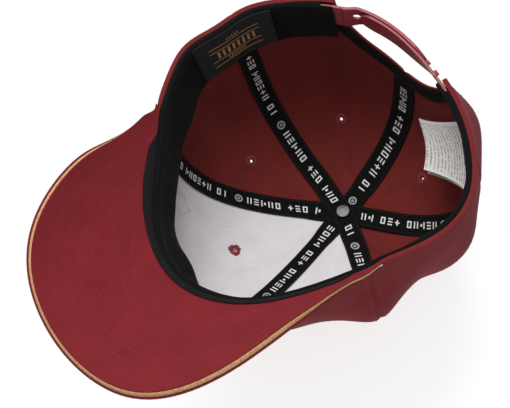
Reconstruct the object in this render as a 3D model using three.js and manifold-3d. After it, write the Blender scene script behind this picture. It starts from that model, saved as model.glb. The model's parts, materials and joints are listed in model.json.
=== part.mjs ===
// A six-panel cap with a curved visor and a snap closure, standing on its rear rim and its visor.
// Millimetres. The cap is built level, with its rim in the plane z = 0, the visor towards -Y and the
// wearer's left towards +X, and one group at the end tips it back onto the table.
// Angles round the cap run from the middle of the front (0) to the wearer's left (+90) and the back (180).

import * as THREE from 'three';
import { mergeVertices } from 'three/addons/utils/BufferGeometryUtils.js';
import Module from 'manifold-3d';

const wasm = await Module();
wasm.setup();

// ---- Driving sizes ----

// Crown
const rimHalfWidth = 89;
const rimHalfDepth = 92;
const crownHeight = 116;
const crownTopLean = -3;        // the soft top leans to the wearer's right
const crownTopSet = 14;         // and sits behind the middle of the rim
// The rim is an ellipse changed by these shares of its radius. The last three act behind the visor
// only: the soft back of the crown settles towards the wearer's right.
const rimShape = { forward: 0.01, lobed: 0.06, squared: 0.028, lean: -0.07, twist: -0.04, sway: 0.035 };
const wallRound = { sides: 0.9, frontExtra: 0.21 };   // how early a wall turns in towards the top
const wallRise = { sides: 0.5, frontExtra: 0.055 };    // how steeply it rises above the rim
const crownHoleRadius = 4.5;    // the panels stop short of the button's shank

// Cloth and lining
const panelThick = 1.2;
const buckramThick = 0.8;
const tapeWidth = 13;
const tapeThick = 0.8;
const sweatbandHeight = 33;
const sweatbandThick = 1.8;
const bindingWidth = 9;
const bindingThick = 0.8;
const buckramRise = 1;          // from the rim up to the foot of the lining
const tapeRise = 4;             // and to the foot of a seam tape
const layerGap = 0.3;           // clearance between layers that lie on each other
const bendSpare = 0.3;          // what a layer needs beyond that where it crosses a bent wall

// Visor
const visorReach = 72;          // level distance from the rim to the edge, at the middle
const visorEndAngle = 70;       // degrees round the rim from the middle to each end
const visorEndReach = 3;
const visorRoundness = 1.7;
const visorSpread = 1.22;
const visorCurveSpare = 9;      // how much larger the visor's curve is than half the rim's width
const visorPitch = 25;          // degrees down towards the front
const coverThick = 0.8;
const boardThick = 2.2;
const edgeStripWidth = 1.6;

// Closure
const archHalfWidth = 44;
const archHeight = 47;
const strapWidth = 19;
const strapThick = 1.6;
const strapRise = 1.5;          // from the rim to the lower edge of the straps
const strapRoot = 8;            // length sewn in behind the binding, past the foot of the arch
const pegPitch = 9;
const pegCount = 7;
const pegsEngaged = 5;
const pegBase = 4.4;
const pegTip = 3;
const pegSunk = 0.6;            // how far a peg is rooted in its strap
const holeClearance = 0.9;
const snapOffset = 4;           // the engaged pegs' middle, from the middle of the back
const holeStrapTail = 7;        // strap beyond the last hole in use
const pegStrapTail = 6;         // strap beyond the first peg
const strapSet = 0.8;           // the straps bend this far inside the arch

// Trim
const buttonDiameter = 14;
const buttonHeight = 4.5;
const rivetDiameter = 8;
const rivetHeight = 1.4;
const shankDiameter = 3;
const eyeletAngle = 51;         // degrees up the wall's round profile
const eyeletFlange = 7.6;
const eyeletBarrel = 5;
const eyeletBore = 2.6;
const sizeLabelWidth = 50;
const sizeLabelHeight = 29;
const careLabelWidth = 36;
const careLabelHeight = 44;
const sideLabelWidth = 12;
const sideLabelHeight = 26;
const labelThick = 0.5;
const sizeLabelAngle = 114;     // degrees round the rim to the middle of each label
const sideLabelAngle = -124;
const careLabelAngle = -138;
const sizeLabelFoot = 2;        // from the rim to a label's lower edge
const sideLabelFoot = 3;
const careLabelLift = 0.5;      // above the sweatband
const careCurl = { back: 7, front: 12 };   // how far each leaf's free end stands off the wall
const frontLeafShare = 0.86;    // the front leaf is shorter and this much narrower
const frontLeafNarrower = 2;

const colours = {
  maroon: 0x72252b, lining: 0xc6c4c8, black: 0x1b1b1c, cork: 0xdeaf7d,
  board: 0xe4e0d6, plastic: 0x8f3038, steel: 0xb9bcc0, white: 0xd8d6d4,
};

// ---- Small helpers ----

const rad = THREE.MathUtils.degToRad;
const { lerp, smoothstep, clamp } = THREE.MathUtils;

// A length along a curve, split into even steps.
const steps = (from, to, count) => Array.from({ length: count + 1 }, (_, i) => lerp(from, to, i / count));

// A closed sheet: an outer and an inner surface over one grid, joined round all four sides.
// place(u, v, depth) gives a point, with depth 0 on the outer surface and 1 on the inner one.
function sheet(us, vs, place) {
  const nu = us.length;
  const nv = vs.length;
  const positions = [];
  for (const depth of [0, 1]) {
    for (const u of us) {
      for (const v of vs) positions.push(...place(u, v, depth).toArray());
    }
  }
  const at = (i, j, depth) => depth * nu * nv + i * nv + j;
  const index = [];
  const quad = (a, b, c, d) => index.push(a, b, c, a, c, d);
  for (let i = 0; i + 1 < nu; i += 1) {
    for (let j = 0; j + 1 < nv; j += 1) {
      quad(at(i, j, 0), at(i + 1, j, 0), at(i + 1, j + 1, 0), at(i, j + 1, 0));
      quad(at(i, j, 1), at(i, j + 1, 1), at(i + 1, j + 1, 1), at(i + 1, j, 1));
    }
  }
  for (let i = 0; i + 1 < nu; i += 1) {
    quad(at(i, 0, 0), at(i, 0, 1), at(i + 1, 0, 1), at(i + 1, 0, 0));
    quad(at(i, nv - 1, 0), at(i + 1, nv - 1, 0), at(i + 1, nv - 1, 1), at(i, nv - 1, 1));
  }
  for (let j = 0; j + 1 < nv; j += 1) {
    quad(at(0, j, 0), at(0, j + 1, 0), at(0, j + 1, 1), at(0, j, 1));
    quad(at(nu - 1, j, 0), at(nu - 1, j, 1), at(nu - 1, j + 1, 1), at(nu - 1, j + 1, 0));
  }
  const geometry = new THREE.BufferGeometry();
  geometry.setAttribute('position', new THREE.Float32BufferAttribute(positions, 3));
  geometry.setIndex(index);
  return facingOut(geometry);
}

// Turns every triangle over when a geometry's enclosed volume comes out negative.
function facingOut(geometry) {
  const p = geometry.attributes.position;
  const index = geometry.index.array;
  const [a, b, c] = [new THREE.Vector3(), new THREE.Vector3(), new THREE.Vector3()];
  let volume = 0;
  for (let i = 0; i < index.length; i += 3) {
    a.fromBufferAttribute(p, index[i]);
    b.fromBufferAttribute(p, index[i + 1]);
    c.fromBufferAttribute(p, index[i + 2]);
    volume += a.dot(b.cross(c));
  }
  if (volume < 0) {
    for (let i = 0; i < index.length; i += 3) {
      [index[i + 1], index[i + 2]] = [index[i + 2], index[i + 1]];
    }
  }
  return geometry;
}

function toSolid(geometry) {
  const bare = geometry.clone();
  bare.deleteAttribute('normal');
  bare.deleteAttribute('uv');
  const merged = mergeVertices(bare, 1e-4);
  return new wasm.Manifold(new wasm.Mesh({
    numProp: 3,
    vertProperties: new Float32Array(merged.attributes.position.array),
    triVerts: new Uint32Array(merged.index.array),
  }));
}

function toGeometry(solid) {
  const mesh = solid.getMesh();
  const geometry = new THREE.BufferGeometry();
  geometry.setAttribute('position', new THREE.BufferAttribute(mesh.vertProperties, 3));
  geometry.setIndex(new THREE.BufferAttribute(mesh.triVerts, 1));
  return geometry;
}

const cut = (geometry, cutters) => toGeometry(
  cutters.reduce((solid, cutter) => solid.subtract(toSolid(cutter)), toSolid(geometry)));
const join = (geometry, others) => toGeometry(
  others.reduce((solid, other) => solid.add(toSolid(other)), toSolid(geometry)));

// A round rod from one point along a direction, with its own radius at each end.
function rod(from, direction, length, startRadius, endRadius, sides = 16) {
  const geometry = new THREE.CylinderGeometry(endRadius, startRadius, length, sides);
  geometry.translate(0, length / 2, 0);
  geometry.applyQuaternion(new THREE.Quaternion().setFromUnitVectors(
    new THREE.Vector3(0, 1, 0), direction));
  return geometry.translate(from.x, from.y, from.z);
}

const cap = new THREE.Group();

function add(name, geometry, colour, roughness, metalness = 0) {
  const material = new THREE.MeshStandardMaterial({ color: colour, roughness, metalness });
  const mesh = new THREE.Mesh(geometry, material);
  mesh.name = name;
  cap.add(mesh);
  return mesh;
}

// ---- The crown's surface ----

function rimPoint(angle) {
  const s = Math.sin(angle);
  const c = Math.cos(angle);
  const behindVisor = smoothstep(Math.abs(Math.atan2(s, c)), rad(visorEndAngle + 2), rad(visorEndAngle + 45));
  const radius = 1 / Math.hypot(s / rimHalfWidth, c / rimHalfDepth);
  const share = 1 + rimShape.forward * c + rimShape.lobed * Math.cos(3 * angle)
    + rimShape.squared * Math.cos(4 * angle)
    + behindVisor * (rimShape.lean * s + rimShape.twist * Math.sin(2 * angle)
      + rimShape.sway * Math.sin(3 * angle));
  return new THREE.Vector2(radius * share * s, -radius * share * c);
}

// The visor's underside is part of a cylinder pitched down towards the front. It meets the rim's plane
// at the visor's two ends.
const visorEnd = rimPoint(rad(visorEndAngle));
const visorCurveRadius = rimHalfWidth + visorCurveSpare;
const sag = (x) => visorCurveRadius - Math.sqrt(visorCurveRadius ** 2 - x * x);
const visorZ = (x, y) => sag(visorEnd.x) - sag(x) + Math.tan(rad(visorPitch)) * (y - visorEnd.y);

// Height of the rim's edge. Over the visor it follows the visor's underside.
function rimZ(angle) {
  const turn = Math.abs(Math.atan2(Math.sin(angle), Math.cos(angle)));
  if (turn >= rad(visorEndAngle)) return 0;
  const p = rimPoint(angle);
  return visorZ(p.x, p.y);
}

const powerOut = (angle) => 2 / (wallRound.sides + wallRound.frontExtra * Math.cos(angle));
const powerUp = (angle) => 2 / (wallRise.sides + wallRise.frontExtra * Math.cos(angle));

// How far out the wall still is, from 1 at the rim to 0 at the top, at a share of its height.
const outAt = (angle, share) => Math.max(1 - share ** powerUp(angle), 0) ** (1 / powerOut(angle));

// The share of the height at which the wall's profile meets a ray at this many radians above level.
function shareAt(angle, lift) {
  let low = 0;
  let high = 1;
  for (let i = 0; i < 40; i += 1) {
    const share = (low + high) / 2;
    if (Math.atan2(share, outAt(angle, share)) < lift) low = share;
    else high = share;
  }
  return (low + high) / 2;
}

function skin(angle, share) {
  const out = outAt(angle, share);
  const p = rimPoint(angle);
  return new THREE.Vector3(
    p.x * out + crownTopLean * (1 - out),
    p.y * out + crownTopSet * (1 - out),
    rimZ(angle) * (1 - share) + crownHeight * share,
  );
}

// Outward normal of the crown's surface.
function skinNormal(angle, share) {
  const step = 0.004;
  const low = clamp(share - step, 0, 1 - 2 * step);
  const along = skin(angle + step, share).sub(skin(angle - step, share));
  const up = skin(angle, low + 2 * step).sub(skin(angle, low));
  return along.cross(up).normalize();
}

// A point this far inside the crown's outer surface.
const inside = (angle, share, depth) => skin(angle, share).addScaledVector(skinNormal(angle, share), -depth);

const wallHeight = (angle) => crownHeight - rimZ(angle);
const topLift = (angle) => Math.atan2(1, crownHoleRadius / rimPoint(angle).length());

// Depths of the layers below the crown's outer surface
const buckramDepth = panelThick + layerGap;
const tapeOverPanel = panelThick + layerGap + bendSpare;
const tapeOverBuckram = buckramDepth + buckramThick + layerGap + bendSpare;
const sweatbandDepth = tapeOverBuckram + tapeThick + layerGap;
const strapDepth = tapeOverPanel + bindingThick + layerGap;
const sweatbandOverStrap = strapDepth + strapThick + layerGap;

// ---- Panels and their stiff lining ----

const wallRows = 13;
const columnTurn = 6;           // degrees between the columns of a panel
const seamHalfGap = 0.15;
const archTurn = archHalfWidth / rimHalfDepth;    // radians from the back's middle to each side

// Height of the closure's arch above the rim at an angle, as a share of the wall.
function archShare(angle, spare = 0) {
  const off = Math.abs(Math.atan2(Math.sin(angle - Math.PI), Math.cos(angle - Math.PI)));
  const half = archTurn + spare / rimHalfDepth;
  const rise = archHeight + spare;
  return off >= half ? 0 : (rise / wallHeight(angle)) * Math.sqrt(1 - (off / half) ** 2);
}

// Angles for the columns of a panel that runs from one seam to the next. A back panel has its columns
// crowded towards the foot of the arch, so that the arch is round.
function panelColumns(from, to) {
  const inset = Math.sign(to - from) * (seamHalfGap / rimHalfDepth);
  const count = Math.round(Math.abs(to - from) / columnTurn);
  if (Math.abs(to) < 180) {
    return steps(rad(from) + inset, rad(to) - inset, count);
  }
  const side = Math.sign(to);
  const foot = side * (Math.PI - archTurn);
  const plain = steps(rad(from) + inset, foot, count / 2).slice(0, -1);
  const archSteps = steps(0, Math.PI / 2, 8);
  const arch = archSteps.map((turn) => side * Math.PI - side * archTurn * Math.cos(turn));
  arch[arch.length - 1] -= inset;
  return [...plain, ...arch];
}

function panelSheet(columns, depth, thick, startShare, topSpare = 0) {
  return sheet(columns, steps(0, 1, wallRows), (angle, v, layer) => {
    const start = startShare(angle);
    const startLift = Math.atan2(start, outAt(angle, start));
    const lift = lerp(startLift, topLift(angle) - topSpare, v);
    const share = v === 0 ? start : shareAt(angle, lift);
    return inside(angle, share, depth + layer * thick);
  });
}

const panelSpans = {
  front_left_panel: [0, 60],
  side_left_panel: [60, 120],
  back_left_panel: [120, 180],
  front_right_panel: [0, -60],
  side_right_panel: [-60, -120],
  back_right_panel: [-120, -180],
};

const buckramSpans = { buckram_left: [0, 60], buckram_right: [0, -60] };

// The eyelets: one in the middle of each panel, set square to the wall.
function eyeletFrame(angleDegrees) {
  const angle = rad(angleDegrees);
  const share = shareAt(angle, rad(eyeletAngle));
  return { point: skin(angle, share), normal: skinNormal(angle, share) };
}

function eyeletHole(angleDegrees) {
  const { point, normal } = eyeletFrame(angleDegrees);
  const reach = 6;
  const start = point.clone().addScaledVector(normal, -reach);
  const radius = eyeletBarrel / 2 + layerGap;
  return rod(start, normal, 2 * reach, radius, radius, 16);
}

for (const [name, [from, to]] of Object.entries(panelSpans)) {
  const shell = panelSheet(panelColumns(from, to), 0, panelThick, (angle) => archShare(angle));
  add(name, cut(shell, [eyeletHole((from + to) / 2)]), colours.maroon, 0.9);
}

for (const [name, [from, to]] of Object.entries(buckramSpans)) {
  const foot = (angle) => buckramRise / wallHeight(angle);
  const shell = panelSheet(panelColumns(from, to), buckramDepth, buckramThick, foot);
  add(name, cut(shell, [eyeletHole((from + to) / 2)]), colours.lining, 0.95);
}

// ---- Sweatband, inside the foot of the wall, open across the closure ----

const closureFoot = Math.PI - archTurn;

function sweatbandFaceDepth(angle) {
  const turn = Math.abs(angle);
  const nearStrap = smoothstep(turn, closureFoot - rad(22), closureFoot - rad(10));
  return lerp(sweatbandDepth, Math.max(sweatbandDepth, sweatbandOverStrap), nearStrap);
}

{
  const end = closureFoot - seamHalfGap / rimHalfDepth;
  const columns = steps(-end, end, Math.round((2 * THREE.MathUtils.radToDeg(end)) / columnTurn));
  const band = sheet(columns, [0, 0.5, 1], (angle, v, layer) => inside(
    angle,
    (v * sweatbandHeight) / wallHeight(angle),
    sweatbandFaceDepth(angle) + layer * sweatbandThick,
  ));
  add('sweatband', band, colours.black, 0.85);
}

// ---- Seam tapes ----

const crossTopDepth = tapeOverBuckram + 0.6;     // where the long tape passes under the crown's top
const tapeEndRadius = tapeWidth + 1.5;           // the short tapes stop here, clear of the long one
const apex = new THREE.Vector3(crownTopLean, crownTopSet, crownHeight);

// A point on a tape: an angle, a height up the wall, an offset across the tape and a depth.
// Near the top the tape runs straight across instead of following the wall's roundness.
function tapePoint(angle, share, across, depth) {
  const middle = inside(angle, share, depth);
  const radius = Math.hypot(middle.x - apex.x, middle.y - apex.y);
  const sideways = new THREE.Vector3(Math.cos(angle), Math.sin(angle), 0);
  const straight = middle.clone().addScaledVector(sideways, across);
  if (radius < 1) return straight;
  const followed = inside(angle + across / Math.max(radius, tapeWidth), share, depth);
  return straight.lerp(followed, smoothstep(radius, tapeWidth, 2.2 * tapeWidth));
}

function tapeRows(angle, startShare, endRadius) {
  const startLift = Math.atan2(startShare, outAt(angle, startShare));
  const endLift = Math.atan2(1, endRadius / rimPoint(angle).length());
  return steps(startLift, endLift, wallRows).map((lift) => shareAt(angle, lift));
}

const tapeFoot = (angle) => tapeRise / wallHeight(angle);
const tapeAcross = steps(-tapeWidth / 2, tapeWidth / 2, 2);

function shortTape(name, degrees, depth, startShare) {
  const angle = rad(degrees);
  const rows = tapeRows(angle, startShare, tapeEndRadius);
  const tape = sheet(tapeAcross, rows, (across, share, layer) => tapePoint(
    angle, share, across, depth + layer * tapeThick));
  add(name, tape, colours.black, 0.8);
}

shortTape('seam_tape_left_front', 60, tapeOverBuckram, tapeFoot(rad(60)));
shortTape('seam_tape_front', 0, tapeOverBuckram, tapeFoot(0));
shortTape('seam_tape_right_back', -120, tapeOverPanel, tapeFoot(rad(-120)));
shortTape('seam_tape_back', 180, tapeOverPanel, archShare(Math.PI, bindingWidth + 2 * layerGap));

// The long tape runs up the left back seam, over the top and down the right front seam.
{
  const legs = [
    { angle: rad(120), depth: tapeOverPanel },
    { angle: rad(-60), depth: tapeOverBuckram },
  ];
  const stations = legs.map(({ angle, depth }) => tapeRows(angle, tapeFoot(angle), 5).map((share) => {
    const reach = outAt(angle, share) * rimPoint(angle).length();
    const deeper = 1 - smoothstep(reach, 1.6 * tapeWidth, 4 * tapeWidth);
    return { angle, share, depth: lerp(depth, crossTopDepth, deeper), flip: angle < 0 ? -1 : 1 };
  }));
  const path = [...stations[0], ...stations[1].reverse()];
  const places = path.map((_, i) => i);
  const tape = sheet(tapeAcross, places, (across, i, layer) => {
    const { angle, share, depth, flip } = path[i];
    return tapePoint(angle, share, flip * across, depth + layer * tapeThick);
  });
  const below = apex.clone().add(new THREE.Vector3(0, 0, -12));
  const shankHole = rod(below, new THREE.Vector3(0, 0, 1), 24,
    shankDiameter / 2 + layerGap, shankDiameter / 2 + layerGap, 16);
  add('seam_tape_cross', cut(tape, [shankHole]), colours.black, 0.8);
}

// ---- Binding round the closure's arch, on the inside ----

{
  const turns = steps(0, Math.PI, 24);
  const band = sheet(turns, [0, 0.5, 1], (turn, v, layer) => {
    const spare = lerp(layerGap, bindingWidth, v);
    const half = archTurn + spare / rimHalfDepth;
    const angle = Math.PI - half * Math.cos(turn);
    const share = ((archHeight + spare) / crownHeight) * Math.sin(turn) + 0.5 / crownHeight;
    return inside(angle, share, tapeOverPanel + layer * bindingThick);
  });
  add('closure_binding', band, colours.black, 0.8);
}

// ---- Visor ----

// u is the angle round the rim, v runs from the rim to the edge, and lift is the height above the
// underside. Layers rise straight up at the rim and square to the visor at its edge.
function visorReachAt(angle) {
  const turn = (Math.PI / 2) * clamp(angle / rad(visorEndAngle), -1, 1);
  return visorEndReach + (visorReach - visorEndReach) * Math.cos(turn) ** visorRoundness;
}

function visorPoint(angle, distance, lift) {
  const p = rimPoint(angle);
  const x = p.x + distance * Math.sin(visorSpread * angle);
  const y = p.y - distance * Math.cos(visorSpread * angle);
  const slopeX = -x / Math.sqrt(visorCurveRadius ** 2 - x * x);
  const normal = new THREE.Vector3(-slopeX, -Math.tan(rad(visorPitch)), 1).normalize();
  const square = smoothstep(distance, 2, 30);
  const up = new THREE.Vector3(0, 0, 1).lerp(normal, square).normalize();
  return new THREE.Vector3(x, y, visorZ(x, y)).addScaledVector(up, lift);
}

const visorStart = 0.5;         // clearance from the foot of the crown
const visorTurns = steps(-rad(visorEndAngle), rad(visorEndAngle), 30);
const boardLift = coverThick + layerGap;
const topCoverLift = boardLift + boardThick + layerGap;
const stripInner = edgeStripWidth + layerGap;

function visorLayer(name, lift, thick, edgeSpare, colour, roughness, rows = 4) {
  const layer = sheet(visorTurns, steps(0, 1, rows), (angle, v, side) => visorPoint(
    angle,
    lerp(visorStart, Math.max(visorReachAt(angle) - edgeSpare, visorStart + 0.4), v),
    lift + side * thick,
  ));
  add(name, layer, colour, roughness);
}

visorLayer('visor_under_cover', 0, coverThick, stripInner, colours.maroon, 0.9);
visorLayer('visor_board', boardLift, boardThick, stripInner, colours.board, 0.7);
visorLayer('visor_top_cover', topCoverLift, coverThick, 0, colours.maroon, 0.9);

{
  const strip = sheet(visorTurns, [0, 1], (angle, v, side) => visorPoint(
    angle,
    visorReachAt(angle) - lerp(edgeStripWidth, 0, v),
    side * (topCoverLift - layerGap),
  ));
  add('visor_edge_strip', strip, colours.cork, 0.8);
}

// ---- Button, shank and eyelets ----

// A flat disc with a domed face, turned about the vertical. Points run from the axis out and back.
function domed(diameter, height, dome, sides) {
  const radius = diameter / 2;
  const points = [new THREE.Vector2(0, 0), new THREE.Vector2(radius * 0.9, 0)];
  for (const turn of steps(0, Math.PI / 2, 4)) {
    const y = height - dome + dome * Math.sin(turn);
    points.push(new THREE.Vector2(turn > 1.57 ? 0 : radius * Math.cos(turn), y));
  }
  return new THREE.LatheGeometry(points, sides);
}

{
  const upright = new THREE.Quaternion().setFromUnitVectors(
    new THREE.Vector3(0, 1, 0), new THREE.Vector3(0, 0, 1));
  const buttonRise = layerGap - 0.1;
  const button = domed(buttonDiameter, buttonHeight, buttonHeight * 0.8, 20).applyQuaternion(upright);
  add('top_button', button.translate(apex.x, apex.y, apex.z + buttonRise), colours.maroon, 0.9);

  // The rivet's head faces down into the crown, and its shank reaches up to the button.
  const headTop = -(crossTopDepth + tapeThick + layerGap);
  const profile = [
    new THREE.Vector2(0, buttonRise - layerGap),
    new THREE.Vector2(shankDiameter / 2, buttonRise - layerGap),
    new THREE.Vector2(shankDiameter / 2, headTop),
    new THREE.Vector2(rivetDiameter / 2, headTop - 0.1),
    new THREE.Vector2(rivetDiameter / 2 - 0.2, headTop - 0.7 * rivetHeight),
    new THREE.Vector2(rivetDiameter / 2 - 1.2, headTop - rivetHeight),
    new THREE.Vector2(0, headTop - rivetHeight),
  ].reverse();
  const rivet = new THREE.LatheGeometry(profile, 16).applyQuaternion(upright);
  add('button_rivet', rivet.translate(apex.x, apex.y, apex.z), colours.steel, 0.3, 1);
}

function eyelet(name, degrees, wall) {
  const { point, normal } = eyeletFrame(degrees);
  const outer = layerGap + 0.05;
  const inner = -(wall + layerGap + 0.45);
  const flangeThick = 0.6;
  const barrel = eyeletBarrel / 2;
  const bore = eyeletBore / 2;
  const flange = eyeletFlange / 2;
  const profile = [
    [bore, inner - flangeThick], [flange, inner - flangeThick * 0.6], [flange, inner], [barrel, inner],
    [barrel, outer], [flange, outer], [flange, outer + flangeThick * 0.6], [bore, outer + flangeThick],
    [bore, inner - flangeThick],
  ].map(([x, y]) => new THREE.Vector2(x, y));
  const mesh = add(name, new THREE.LatheGeometry(profile, 14), colours.maroon, 0.8);
  mesh.quaternion.setFromUnitVectors(new THREE.Vector3(0, 1, 0), normal);
  mesh.position.copy(point);
}

const linedWall = buckramDepth + buckramThick;
eyelet('eyelet_front_left', 30, linedWall);
eyelet('eyelet_side_left', 90, panelThick);
eyelet('eyelet_back_left', 150, panelThick);
eyelet('eyelet_front_right', -30, linedWall);
eyelet('eyelet_side_right', -90, panelThick);
eyelet('eyelet_back_right', -150, panelThick);

// ---- Snap closure ----

// Places along the straps are lengths round the back from its middle, positive to the wearer's left.
const strapAngle = (along) => Math.PI - along / rimHalfDepth;
const strapPoint = (along, height, depth) => inside(strapAngle(along), height / crownHeight, depth);
const strapMiddle = strapRise + strapWidth / 2;
const snapGap = 0.6;            // between the two straps where they lie on each other
const pegHeight = snapGap + strapThick;
const holeStrapDepth = strapDepth - snapGap - strapThick;
const tipRadius = strapWidth / 2;

// Both straps bend where they come clear of the arch at the height of their upper edge.
const archAtStrapTop = archHalfWidth * Math.sqrt(1 - ((strapRise + strapWidth) / archHeight) ** 2);
const strapBend = archAtStrapTop - strapSet;
const strapEnd = archHalfWidth + strapRoot;

// A peg with no strap under it is left out.
const pegPlaces = Array.from({ length: pegCount }, (_, i) => (pegsEngaged - 1) * pegPitch / 2 + snapOffset - i * pegPitch)
  .filter((along) => along > pegBase - strapBend);

// Half the strap's width at a distance from its round tip.
function strapHalfWidth(fromTip) {
  const inRound = clamp(tipRadius - fromTip, 0, tipRadius);
  return Math.max(Math.sqrt(tipRadius ** 2 - inRound ** 2), 0.3 * tipRadius);
}

const strapPlate = (places, halfWidthAt, depthAt) => sheet(places, [-1, 0, 1], (along, v, layer) => strapPoint(
  along, strapMiddle + v * halfWidthAt(along), depthAt(along) + layer * strapThick));

function strapSheet(root, tip, depthAt) {
  const side = Math.sign(tip - root);
  const tipSteps = steps(0, Math.PI / 2, 5).map((turn) => tip - side * tipRadius * (1 - Math.sin(turn)));
  const places = [...steps(root, tipSteps[0], 12).slice(0, -1), ...tipSteps];
  return strapPlate(places, (along) => strapHalfWidth(Math.abs(tip - along)), depthAt);
}

const outwardAt = (along) => skinNormal(strapAngle(along), strapMiddle / crownHeight);

{
  // The strap with holes hangs from the wearer's left and steps outside the other strap.
  const tip = pegPlaces[pegsEngaged - 1] - holeStrapTail;
  const pegStrapTip = pegPlaces[0] + pegStrapTail;
  const stepIn = (along) => smoothstep(along, pegStrapTip + 1, strapBend - 1);
  const depthAt = (along) => lerp(holeStrapDepth, strapDepth, stepIn(along));
  const holePlaces = pegPlaces.map((_, i) => pegPlaces[pegsEngaged - 1] + i * pegPitch)
    .filter((along) => along < strapBend - pegBase);
  const holes = holePlaces.map((along) => {
    const start = strapPoint(along, strapMiddle, strapDepth + strapThick + 3);
    const radius = (pegBase + holeClearance) / 2;
    return rod(start, outwardAt(along), 16, radius, radius, 16);
  });
  add('snap_strap_holes', cut(strapSheet(strapBend, tip, depthAt), holes), colours.plastic, 0.45);

  // The strap with pegs hangs from the wearer's right.
  const pegs = pegPlaces.map((along) => {
    const start = strapPoint(along, strapMiddle, strapDepth + pegSunk);
    return rod(start, outwardAt(along), pegHeight + pegSunk, pegBase / 2, pegTip / 2, 14);
  });
  const pegStrap = strapSheet(-strapBend, pegStrapTip, () => strapDepth);
  add('snap_strap_pegs', join(pegStrap, pegs), colours.plastic, 0.45);

  // The sewn ends of the straps, held between the binding and the sweatband.
  for (const [name, side] of [['strap_anchor_left', 1], ['strap_anchor_right', -1]]) {
    const places = steps(side * (strapBend + layerGap), side * strapEnd, 4);
    add(name, strapPlate(places, () => strapWidth / 2, () => strapDepth), colours.plastic, 0.45);
  }
}

// ---- Labels ----

// A label lying on the wall: middle angle, foot height, size and depth, with a bend away from the wall.
function wallLabel(middleDegrees, foot, width, height, depthAt, rows) {
  const half = width / 2 / rimHalfDepth;
  const middle = rad(middleDegrees);
  return sheet(steps(middle - half, middle + half, 8), steps(0, 1, rows), (angle, v, layer) => inside(
    angle, (foot + v * height) / crownHeight, depthAt(angle, v) + layer * labelThick));
}

const onSweatband = (angle) => sweatbandFaceDepth(angle) + sweatbandThick + layerGap;
add('size_label', wallLabel(sizeLabelAngle, sizeLabelFoot, sizeLabelWidth, sizeLabelHeight, onSweatband, 2),
  colours.black, 0.5);
add('woven_side_label', wallLabel(sideLabelAngle, sideLabelFoot, sideLabelWidth, sideLabelHeight, onSweatband, 2),
  colours.black, 0.7);

// The care label is two leaves, sewn together just above the sweatband, which curl into the crown.
const careFoot = sweatbandHeight + careLabelLift;
const careStart = sweatbandDepth - 0.9;
const careDepth = (first, curl) => (angle, v) => first + curl * v * v;
add('care_label_back_leaf', wallLabel(careLabelAngle, careFoot, careLabelWidth, careLabelHeight,
  careDepth(careStart, careCurl.back), 6), colours.white, 0.8);
add('care_label_front_leaf', wallLabel(careLabelAngle, careFoot, careLabelWidth - frontLeafNarrower,
  careLabelHeight * frontLeafShare, careDepth(careStart + labelThick + layerGap, careCurl.front), 6),
  colours.white, 0.8);

// ---- Stand the cap on the table ----

// The lowest points are the two sides of the visor and the rim behind. The cap tips back until the
// visor is level with the foot of the closure.
const rearFoot = skin(closureFoot, 0);
const edgePoints = visorTurns.map((angle) => visorPoint(angle, visorReachAt(angle), 0));
const tips = edgePoints.map((p) => Math.atan2(rearFoot.z - p.z, rearFoot.y - p.y));
const tip = Math.max(...tips);

const group = new THREE.Group();
cap.rotation.x = -tip;
cap.updateMatrixWorld(true);
const standing = new THREE.Box3().setFromObject(cap, true);
const middle = standing.getCenter(new THREE.Vector3());
cap.position.set(-middle.x, -middle.y, -standing.min.z);
group.add(cap);

export default group;
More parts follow.
